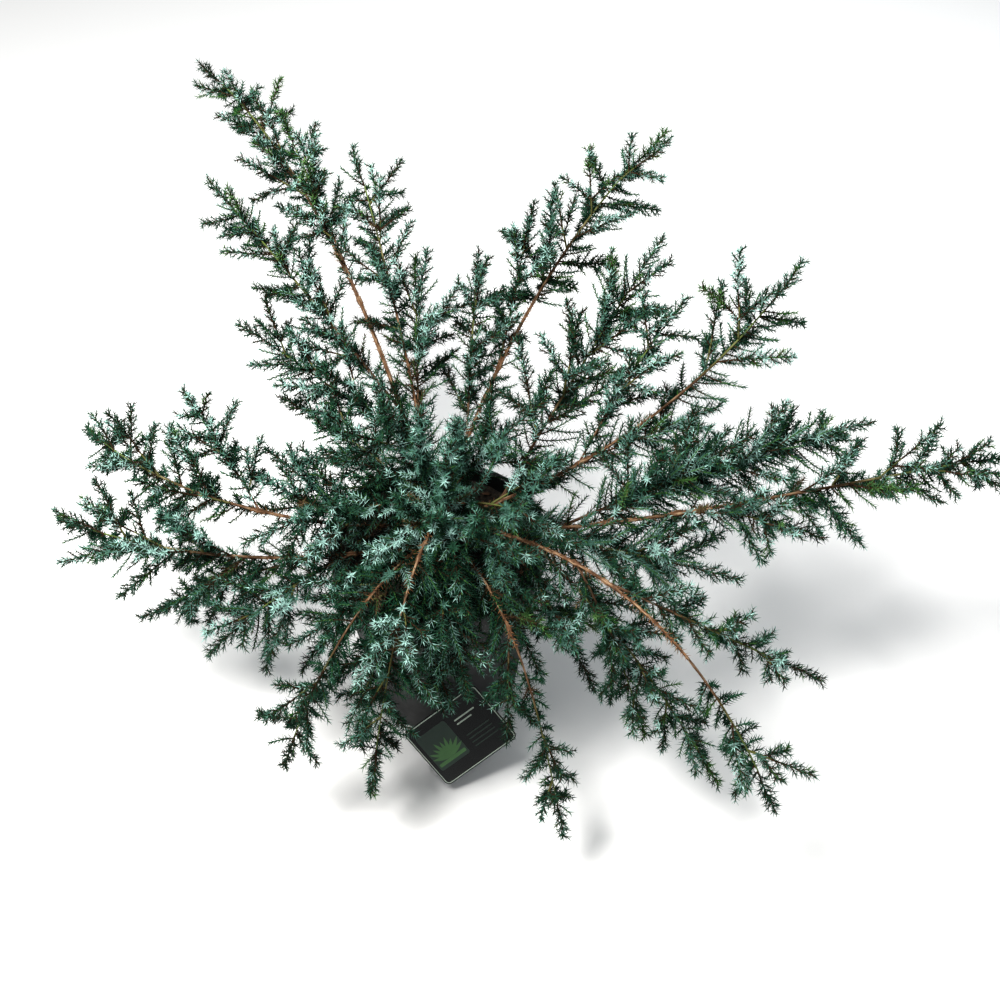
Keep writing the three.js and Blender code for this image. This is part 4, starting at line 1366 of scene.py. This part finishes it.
rng = np.random.default_rng(31)
points, faces, grain = limb(trunk_path, trunk_shape, (0, 1), 1.6, 30, 0.05, rng)
trunk = mesh_piece("trunk_bark_mesh", points, faces, [trunk_bark], smooth=True)
add_grain(trunk, grain)
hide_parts("trunk")

# %% [markdown]
# Each bough starts inside the trunk with a small collar, and swells where a side branch leaves.
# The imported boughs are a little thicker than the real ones, to be sturdy enough as solids, so
# the bark stands about a quarter inside them.

# %% Boughs
SLIM = 0.76
COLLAR = 0.5
COLLAR_LONG = 14
KNOT = 1.1
INSIDE_TRUNK = 0.02
OVERLAP = 0.004

for name, b in BOUGHS.items():
    knots = [(m["at"], KNOT) for m in MASSES.values() if m["on"] == name and "at" in m]
    end = b["bare"] + OVERLAP
    points, faces, grain = limb(
        lambda u: bough_point(b, u),
        lambda u: bough_radius(b, u) * (SLIM + COLLAR * math.exp(-u * b["reach"] / COLLAR_LONG)),
        (INSIDE_TRUNK, end), 2.0, 14, 0.075, rng, knots,
    )
    bough = mesh_piece(f"bark_{name}", points, faces, [bough_bark], smooth=True)
    add_grain(bough, grain)
    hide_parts(f"bough_{name}")

# %% [markdown]
# The stems of the masses carry on from the boughs or leave them at a side, and thin out towards
# their tips. Each stores its age beside the grain, from 0 at its foot to 1 at its tip, for the
# green of the young bark. The forked twigs are of one middle age.

# %% Stems
SIDE_BARK = 0
END_BARK = 1
TWIG_AGE = 0.6


def stem_limb(m, g):
    """The bark of one mass's own stem."""
    if "tip" in m:
        thick = 0.85 + 0.0024 * g["length"]
        shape = lambda u: thick * (1 - 0.62 * u)
        return limb(g["path"], shape, (0, g["end"]), 3.5, 7, 0.07, rng)
    b = BOUGHS[m["on"]]
    far = lambda u: b["bare"] + (1 - b["bare"]) * u
    shape = lambda u: bough_radius(b, far(u)) * (SLIM - 0.34 * u * u)
    return limb(g["path"], shape, (0, g["end"]), 2.6, 9, 0.07, rng)


def twig_limb(foot, fork):
    """The bark of one forked twig, up to its fork."""
    way = lambda u: foot + (fork - foot) * u
    return limb(way, lambda u: 1.25 - 0.4 * u, (0, 1), 4, 5, 0.06, rng)


for sector, limbs in SECTORS.items():
    patch = Patch()
    grains = []
    ages = []
    wears = []
    for name, m in MASSES.items():
        if m["on"] not in limbs:
            continue
        points, faces, grain = stem_limb(m, grown[name])
        patch.add(points, faces)
        grains.append(grain)
        ages.append(np.linspace(0, 1, len(points)))
        wears.append(np.full(len(faces), SIDE_BARK if "tip" in m else END_BARK))
        for foot, fork in grown[name]["twigs"]:
            points, faces, grain = twig_limb(foot, fork)
            patch.add(points, faces)
            grains.append(grain)
            ages.append(np.full(len(points), TWIG_AGE))
            wears.append(np.full(len(faces), SIDE_BARK))
    points, faces = patch.joined()
    wears = np.concatenate(wears)
    stems = mesh_piece(f"stems_{sector}", points, faces, [stem_bark, tip_bark], wears, smooth=True)
    add_grain(stems, np.concatenate(grains))
    add_age(stems, np.concatenate(ages))
    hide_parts(*nodes_in(sector))

# %% [markdown]
# Old needles dry out on the bare part of a bough and stay there for a year or two, thin and tan.
# They break up the clean outline of the limbs, so they are worth a few thousand triangles. They
# use the same table and the same needle as the foliage, with a larger gap at the trunk that
# narrows further out, where more of them still hold on.

# %% Dry needles on the boughs
DRY_LOOK = dict(first=0.02, open_old=70, open_young=55, leaf=6.0, tone=DRY, brown=1)
DRY_FROM = 0.2
DRY_STEPS = 7
DRY_GAP = 5.5
DRY_GAP_LESS = 2.5
DRY_OUT = 1.4

dry = Shoots()
rng = np.random.default_rng(32)
for b in BOUGHS.values():
    shares = [b["bare"] * (DRY_FROM + (1 - DRY_FROM) * i / DRY_STEPS) for i in range(DRY_STEPS + 1)]
    for i, (u0, u1) in enumerate(zip(shares, shares[1:])):
        thick, thin = bough_radius(b, u0) * DRY_OUT, bough_radius(b, u1) * DRY_OUT
        gap = DRY_GAP - DRY_GAP_LESS * i / DRY_STEPS
        ends = bough_point(b, u0), bough_point(b, u1)
        dry.add(*ends, np.zeros(3), thick=thick, thin=thin, gap=gap, **DRY_LOOK)
points, faces, wears = needles(dry.table(), rng)
piece = mesh_piece("needles_dry", points, faces, needle_finishes, wears)
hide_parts(*[f"bough_{name}" for name in BOUGHS])

# %% [markdown]
# The pot is thin black plastic, blown or moulded in one go, so it is a body turned about its
# own axis: a small radius at the foot, a straight wall, a step out under the rim, and a rolled
# rim that is never sharp. It could be a solid with a bevel, but turning an outline keeps every
# radius in view in one list. A slight waviness stops the highlights from looking machined.

# %% Bodies turned from an outline
POT_SIDES = 120
POT_WAVE = 0.35


def arc(middle, radius, start, end, steps):
    """Points of an outline along an arc, angles in degrees from straight out, upwards."""
    angles = np.radians(np.linspace(start, end, steps))
    return [(middle[0] + radius * math.cos(a), middle[1] + radius * math.sin(a)) for a in angles]


def skin_and_caps(rings, sides):
    """Triangles over rings of corners, closed at both ends by a middle corner each."""
    i = np.arange(rings - 1)[:, None] * sides
    k = np.arange(sides)[None]
    a, b = i + k, i + (k + 1) % sides
    skin = np.stack([np.stack([a, b, b + sides], -1), np.stack([a, b + sides, a + sides], -1)], 2)
    low = rings * sides
    high = low + 1
    last = low - sides
    caps = [(low, (s + 1) % sides, s) for s in range(sides)]
    caps += [(high, last + s, last + (s + 1) % sides) for s in range(sides)]
    return np.concatenate([skin.reshape(-1, 3), caps])


def turned_body(outline, sides, wave=0.0):
    """A closed body turned about Z from an outline of radius and height."""
    angle = 2 * math.pi * np.arange(sides) / sides
    radius, height = np.array(outline).T
    wobble = 1 + wave * (np.sin(3 * angle + 1) + 0.6 * np.sin(7 * angle + 2)) / radius.max()
    rings = np.stack(
        [
            radius[:, None] * wobble * np.cos(angle),
            radius[:, None] * wobble * np.sin(angle),
            height[:, None] + 0 * angle,
        ],
        axis=-1,
    )
    points = np.concatenate([rings.reshape(-1, 3), [[0, 0, outline[0][1]], [0, 0, outline[-1][1]]]])
    return points, skin_and_caps(len(outline), sides)


points, faces = turned_body([(10, 0), (10, 5)], POT_SIDES)
print("triangles in a plain disc with as many sides as the pot:", len(faces))

# %% The pot's outline
LIP = POT["height"] - POT["rim_depth"]
NECK = POT["neck"]
RIM = POT["rim"]
WALL = POT["wall"]
FOOT_ROUND = 2.5
FOOT_IN = 8
STEP_IN = 1.8
STEP_OUT = 2.0
RIM_OUT = 2.6
RIM_IN = 2.4
RIM_DRAFT = 0.3

outline = [(POT["foot"] - FOOT_IN, 0)]
outline += arc((POT["foot"] - FOOT_ROUND, FOOT_ROUND), FOOT_ROUND, -90, -8, 6)
outline += [(pot_radius(z), z) for z in np.linspace(8, LIP - 4, 14)]
outline += arc((NECK + STEP_IN, LIP - 1.2), STEP_IN, 180, 90, 5)
outline += arc((RIM - STEP_OUT, LIP + 2.6), STEP_OUT, -90, 0, 5)
outline += [(RIM - RIM_DRAFT, z) for z in np.linspace(LIP + 6, POT["height"] - 8, 4)]
outline += arc((RIM - RIM_OUT, POT["height"] - RIM_OUT), RIM_OUT, 0, 90, 7)
outline += arc((NECK + 0.4, POT["height"] - RIM_IN), RIM_IN, 90, 180, 7)
outline += [(NECK - WALL, z) for z in np.linspace(POT["height"] - 5, LIP, 5)]
outline += [(pot_radius(z) - WALL, z) for z in np.linspace(LIP - 6, 3, 8)]
print("corners in the pot's outline:", len(outline))

# %% [markdown]
# Nursery plastic is black all through, but it is never evenly glossy: handling and dried
# splashes leave duller patches. One noise therefore drives both its colour and its roughness,
# and a very fine one gives it the grain of the mould.

# %% Pot
POT_BLACK = (0.003, 0.0035, 0.004)
POT_DUSTY = (0.012, 0.013, 0.013)
GLOSSY = (0.36,) * 3
DULL = (0.66,) * 3

points, faces = turned_body(outline, POT_SIDES, POT_WAVE)
plastic, tree, shader = node_finish("pot_plastic", 0.42)
shader.inputs["Specular IOR Level"].default_value = 0.3
place = tree.nodes.new("ShaderNodeTexCoord").outputs["Object"]
dust = noise(tree, place, 22, 5, 0.65)
blacks = ramp(tree, dust, (0.35, POT_BLACK), (0.75, POT_DUSTY))
gloss = ramp(tree, dust, (0.3, GLOSSY), (0.8, DULL))
tree.links.new(blacks, shader.inputs["Base Color"])
tree.links.new(gloss, shader.inputs["Roughness"])
bump(tree, shader, noise(tree, place, 900, 2), 0.12, 0.0003)
pot = mesh_piece("pot_body", points, faces, [plastic], smooth=True)
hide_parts("pot")

# %% [markdown]
# Compost is never a flat disc. Its top is a grid of rings, pushed up and down by a few sizes of
# lumps, a little higher round the trunk and lower at the wall. Loose crumbs and chips of bark
# lie half sunk in it: each is a small lumpy body of its own, squashed and turned at random.

# %% The lie of the compost
SOIL_RADIUS = NECK - WALL - 0.4
SOIL_SEED = 5
LUMPS = ((46, 1.4), (21, 0.9), (9, 0.75), (4.6, 0.55))
WAVES = 7


def lumps(x, y):
    """Heights from a few waves of many directions and sizes."""
    rng = np.random.default_rng(SOIL_SEED)
    height = np.zeros_like(x)
    for size, amount in LUMPS:
        for _ in range(WAVES):
            a, phase = rng.uniform(*ANY_TURN, 2)
            turn = 2 * math.pi / (size * rng.uniform(0.8, 1.25))
            height += amount * 0.4 * np.sin((x * math.cos(a) + y * math.sin(a)) * turn + phase)
    return height


def soil_height(x, y):
    """The top of the compost at a place, lower towards the wall."""
    far = np.hypot(x, y) / SOIL_RADIUS
    return SOIL_Z - 1.4 - 3.2 * far**3 + lumps(x, y) * (1 - 0.35 * far)


print("compost beside the trunk at", round(float(soil_height(np.array(20.0), np.array(0.0))), 1), "mm")

# %% Compost
SOIL_SIDES = 110
SOIL_RINGS = 44
SOIL_FOOT = 3.3
EARTH_DARK = (0.006, 0.005, 0.004)
EARTH_BROWN = (0.022, 0.017, 0.012)
EARTH_PALE = (0.075, 0.055, 0.036)

angle = 2 * math.pi * np.arange(SOIL_SIDES) / SOIL_SIDES
grid = []
for radius, z in ((pot_radius(SOIL_FOOT) - WALL - 0.4, SOIL_FOOT), (SOIL_RADIUS, LIP)):
    grid.append(np.stack([radius * np.cos(angle), radius * np.sin(angle), 0 * angle + z], -1))
for k in range(SOIL_RINGS):
    radius = SOIL_RADIUS * (1 - k / SOIL_RINGS) ** 0.85
    x = radius * np.cos(angle)
    y = radius * np.sin(angle)
    grid.append(np.stack([x, y, soil_height(x, y)], -1))
points = np.concatenate([np.concatenate(grid), [[0, 0, SOIL_FOOT], [0, 0, SOIL_Z - 1]]])
faces = skin_and_caps(len(grid), SOIL_SIDES)

earth, tree, shader = node_finish("compost_earth", 0.95)
place = tree.nodes.new("ShaderNodeTexCoord").outputs["Object"]
fine = noise(tree, place, 260, 6, 0.7)
browns = ramp(tree, fine, (0.36, EARTH_DARK), (0.52, EARTH_BROWN), (0.7, EARTH_PALE))
tree.links.new(browns, shader.inputs["Base Color"])
bump(tree, shader, fine, 0.8, 0.0012)
soil = mesh_piece("compost_body", points, faces, [earth], smooth=True)
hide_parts("soil")

# %% [markdown]
# One lumpy stone shape with twenty faces serves for every crumb and chip. Drawing each with its
# own stretch, turn and jitter makes hundreds that never look alike.

# %% A lumpy stone, scattered
TRUNK_CLEAR = 24
SUNK = 0.22
PHI = (1 + 5**0.5) / 2
BALL = unit_all(np.array([
    (-1, PHI, 0), (1, PHI, 0), (-1, -PHI, 0), (1, -PHI, 0), (0, -1, PHI), (0, 1, PHI),
    (0, -1, -PHI), (0, 1, -PHI), (PHI, 0, -1), (PHI, 0, 1), (-PHI, 0, -1), (-PHI, 0, 1),
], float))
BALL_FACES = np.array([
    (0, 11, 5), (0, 5, 1), (0, 1, 7), (0, 7, 10), (0, 10, 11), (1, 5, 9), (5, 11, 4),
    (11, 10, 2), (10, 7, 6), (7, 1, 8), (3, 9, 4), (3, 4, 2), (3, 2, 6), (3, 6, 8),
    (3, 8, 9), (4, 9, 5), (2, 4, 11), (6, 2, 10), (8, 6, 7), (9, 8, 1),
])


def lump(size, flat, rng):
    """One lump round the origin, stretched, dented, tipped and turned at random."""
    stretch = np.array([1, rng.uniform(0.8, 1.2) * flat[0], rng.uniform(0.8, 1.2) * flat[1]])
    ball = BALL * rng.uniform(0.75, 1.2, (len(BALL), 1)) * stretch * size / 2
    turn, tilt = rng.uniform(*ANY_TURN), rng.normal(0, 0.3)
    ct, st, cx, sx = math.cos(turn), math.sin(turn), math.cos(tilt), math.sin(tilt)
    tipped = ball @ np.array([[1, 0, 0], [0, cx, sx], [0, -sx, cx]])
    return tipped @ np.array([[ct, st, 0], [-st, ct, 0], [0, 0, 1]])


def scattered(count, sizes, flat, rng):
    """Lumps half sunk in the compost. sizes: shortest and longest; flat: width and thickness."""
    patch = Patch()
    while patch.count < count * len(BALL):
        x, y = rng.uniform(-SOIL_RADIUS, SOIL_RADIUS, 2)
        size = rng.uniform(*sizes) * rng.uniform(0.7, 1)
        far = math.hypot(x, y)
        if far > SOIL_RADIUS - size or far < TRUNK_CLEAR:
            continue
        z = float(soil_height(np.array(x), np.array(y))) + size * flat[1] * SUNK
        patch.add(lump(size, flat, rng) + (x, y, z), BALL_FACES)
    return patch.joined()


print("triangles in a lump:", len(BALL_FACES))

# %% Crumbs and chips
CRUMBS = {
    "crumbs_dark": dict(count=620, sizes=(2.2, 6.5), flat=(0.8, 0.65)),
    "chips_brown": dict(count=170, sizes=(5, 15), flat=(0.42, 0.2)),
    "crumbs_pale": dict(count=60, sizes=(1.5, 3.4), flat=(0.8, 0.7)),
}
CRUMB_COLOURS = {
    "crumbs_dark": ((0.012, 0.009, 0.007), (0.045, 0.033, 0.022)),
    "chips_brown": ((0.045, 0.024, 0.014), (0.19, 0.1, 0.055)),
    "crumbs_pale": ((0.16, 0.13, 0.1), (0.36, 0.31, 0.25)),
}


def chip_finish(name, dark, pale):
    """A dull mix of two colours, with a small bump."""
    material, tree, shader = node_finish(name, 0.85)
    place = tree.nodes.new("ShaderNodeTexCoord").outputs["Object"]
    mixed = noise(tree, place, 120, 4)
    tree.links.new(ramp(tree, mixed, (0.35, dark), (0.68, pale)), shader.inputs["Base Color"])
    bump(tree, shader, noise(tree, place, 500, 3), 0.5, 0.0005)
    return material


rng = np.random.default_rng(33)
for name, kind in CRUMBS.items():
    points, faces = scattered(**kind, rng=rng)
    piece = mesh_piece(name, points, faces, [chip_finish(name, *CRUMB_COLOURS[name])])
    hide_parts("soil")

# %% [markdown]
# The care card hangs in front of the pot on a strap that hooks over the rim. It is a thin sheet
# of printed plastic with rounded corners and a pale border. Its print here is a plain design of
# its own: a little spreading bush made of narrow leaves over a strip of ground, two blank bars
# for a title and four faint ones for text. Each printed shape is a body less than a fifth of a
# millimetre thick, laid on the card's face, because a real thin layer exports as it is and needs
# no image.

# %% Plates on the card
def plate(shape, low, high):
    """A flat body from a convex outline, between two heights over the card's plane."""
    n = len(shape)
    points = np.array([to_card((x, y, z)) for z in (low, high) for x, y in shape])
    faces = []
    for i in range(n):
        j = (i + 1) % n
        faces += [(i, j, j + n), (i, j + n, i + n)]
    for i in range(1, n - 1):
        faces += [(0, i + 1, i), (n, n + i, n + i + 1)]
    return points, faces


def frame_plate(outer, inner, low, high):
    """A flat ring between two outlines with as many corners each."""
    n = len(outer)
    points = np.array(
        [to_card((x, y, z)) for z in (low, high) for shape in (outer, inner) for x, y in shape]
    )
    faces = []
    for i in range(n):
        j = (i + 1) % n
        faces += [(i, j, j + 2 * n), (i, j + 2 * n, i + 2 * n)]
        faces += [(n + j, n + i, i + 3 * n), (n + j, i + 3 * n, j + 3 * n)]
        faces += [(i + 2 * n, j + 2 * n, j + 3 * n), (i + 2 * n, j + 3 * n, i + 3 * n)]
        faces += [(j, i, i + n), (j, i + n, j + n)]
    return points, faces


def rounded(w, h, corner, at=(0, 0), steps=6):
    """The outline of a rectangle with round corners, anticlockwise."""
    out = []
    for sx, sy, start in ((1, 1, 0), (-1, 1, 90), (-1, -1, 180), (1, -1, 270)):
        middle = (at[0] + sx * (w / 2 - corner), at[1] + sy * (h / 2 - corner))
        out += arc(middle, corner, start, start + 90, steps)
    return out


def leaf_shape(root, angle, length, wide):
    """A narrow pointed leaf on the card, from its root."""
    c, s = math.cos(angle), math.sin(angle)
    edge = [(0, 0), (0.25, -0.8), (0.5, -1), (0.8, -0.6), (1, 0), (0.8, 0.6), (0.5, 1), (0.25, 0.8)]
    sized = [(x * length, y * wide) for x, y in edge]
    return [(root[0] + x * c - y * s, root[1] + x * s + y * c) for x, y in sized]


print("corners of a leaf on the card:", len(leaf_shape((0, 0), 0, 20, 2)))

# %% The card and its print
PRINT_LIFT = 0.12
SKIN = 0.25
SUNK_IN = 0.05
BORDER_AT = 2.4
BORDER_WIDE = 2.0
PICTURE = {"w": 38, "h": 46, "corner": 3, "at": (-22, 2)}
GROUND = {"w": 34, "h": 4, "corner": 1, "at": (-22, -15)}
LEAVES = 9
LEAF_ROOT = (-22, -13)
LEAF_FIRST = 22
LEAF_STEP = 17
TITLE_BARS = ((17, 26), (12, 19))
TEXT_BARS = (-4, -9, -14, -19)


def print_finish(name, colour, roughness=0.3):
    """A glossy printed colour with a very slight unevenness."""
    material, tree, shader = node_finish(name, roughness)
    place = tree.nodes.new("ShaderNodeTexCoord").outputs["Object"]
    soft = noise(tree, place, 60, 3)
    low, high = (tuple(c * k for c in colour) for k in (0.9, 1.1))
    tree.links.new(ramp(tree, soft, (0.3, low), (0.7, high)), shader.inputs["Base Color"])
    bump(tree, shader, noise(tree, place, 140, 2), 0.05, 0.0002)
    return material


card_finishes = {
    "black": print_finish("card_black", (0.005, 0.006, 0.006), 0.22),
    "pale": print_finish("card_pale", (0.36, 0.42, 0.36)),
    "green": print_finish("card_green", (0.06, 0.15, 0.05)),
    "soft": print_finish("card_soft_green", (0.018, 0.036, 0.026)),
}
w, h, corner = CARD["w"], CARD["h"], CARD["corner"]
top = CARD["t"] / 2
parts = {key: Patch() for key in card_finishes}
for low, high, less in ((-top, SKIN - top, 0.5), (SKIN - top, top - SKIN, 0), (top - SKIN, top, 0.5)):
    parts["black"].add(*plate(rounded(w - less, h - less, corner), low, high))
outer = rounded(w - BORDER_AT, h - BORDER_AT, corner - 1)
inner_at = BORDER_AT + BORDER_WIDE
inner = rounded(w - inner_at, h - inner_at, corner - 2)
parts["pale"].add(*frame_plate(outer, inner, top - SUNK_IN, top + PRINT_LIFT))
parts["soft"].add(*plate(rounded(**PICTURE), top - SUNK_IN, top + PRINT_LIFT * 0.6))
parts["green"].add(*plate(rounded(**GROUND), top, top + PRINT_LIFT * 1.1))
for i in range(LEAVES):
    odd = i % 2
    leaf = leaf_shape(LEAF_ROOT, math.radians(LEAF_FIRST + i * LEAF_STEP), 21 + 3 * odd, 2.1)
    parts["green"].add(*plate(leaf, top, top + PRINT_LIFT * (1.2 + 0.2 * odd)))
for y, bar in TITLE_BARS:
    parts["pale"].add(*plate(rounded(bar, 1.6, 0.7, (bar / 2 + 5, y)), top, top + PRINT_LIFT))
for y in TEXT_BARS:
    parts["soft"].add(*plate(rounded(30, 1.4, 0.6, (20, y)), top, top + PRINT_LIFT))
for key, patch in parts.items():
    points, faces = patch.joined()
    piece = mesh_piece(f"card_{key}", points, faces, [card_finishes[key]])
    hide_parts("label")

# %% [markdown]
# The strap is one ribbon of the same black plastic. It drops inside the rim, bends over it with
# a small radius, and runs down the outside to the card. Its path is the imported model's, with
# each corner replaced by a short curve.

# %% Strap
STRAP_X = -2
STRAP_HALF = 2.5
STRAP_THICK = 1.0
STRAP_OFF = 1.2
STRAP_INSIDE = 9
STRAP_CORNER = 2.6


def round_corners(path, cut, steps=5):
    """Replace each inner corner of a path by a short curve that starts `cut` before it."""
    path = [np.array(p, float) for p in path]
    out = [path[0]]
    for before, corner, after in zip(path, path[1:], path[2:]):
        a = corner + (before - corner) * min(0.5, cut / np.linalg.norm(before - corner))
        b = corner + (after - corner) * min(0.5, cut / np.linalg.norm(after - corner))
        for s in np.linspace(0, 1, steps):
            out.append((a * (1 - s) + corner * s) * (1 - s) + (corner * (1 - s) + b * s) * s)
    return np.array([*out, path[-1]])


def ribbon(path, half, thick):
    """A closed ribbon along a path, its width along X."""
    way = unit_all(np.gradient(path, axis=0))
    wide = np.array([1.0, 0, 0])
    flat = unit_all(np.cross(way, wide))
    points = np.stack([path + wide * half * sx + flat * thick / 2 * sy for sx, sy in SQUARE], 1)
    faces = []
    for i in range(len(path) - 1):
        for k in range(4):
            a, b = 4 * i + k, 4 * i + (k + 1) % 4
            faces += [(a, b, b + 4), (a, b + 4, a + 4)]
    last = 4 * (len(path) - 1)
    faces += [(0, 2, 1), (0, 3, 2), (last, last + 1, last + 2), (last, last + 2, last + 3)]
    return points.reshape(-1, 3), np.array(faces)


behind = -NECK + WALL + 1.5
before = -RIM - STRAP_OFF
over = POT["height"] + STRAP_OFF
strap_path = round_corners(
    [
        (STRAP_X, behind, POT["height"] - STRAP_INSIDE),
        (STRAP_X, behind, over),
        (STRAP_X, before, over),
        (STRAP_X, before, LIP - 4),
        to_card((0, h / 2 - 1, -0.4)),
        to_card((0, h / 2 - 7, -0.4)),
    ],
    STRAP_CORNER,
)
points, faces = ribbon(strap_path, STRAP_HALF, STRAP_THICK)
piece = mesh_piece("card_strap", points, faces, [card_finishes["black"]])
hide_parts("label")

# %% [markdown]
# Last, the finished plant is measured again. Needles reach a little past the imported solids, so
# its box may grow by a few millimetres, but it must stay the same plant at the same size.

# %% Measure and finish
DONE_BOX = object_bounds()
for axis, name in enumerate("xyz"):
    low = (CAD_BOX[0][axis] - DONE_BOX[0][axis]) * 1000
    high = (DONE_BOX[1][axis] - CAD_BOX[1][axis]) * 1000
    print(f"{name}: grows by {low:.1f} mm at its low side and {high:.1f} mm at its high side")
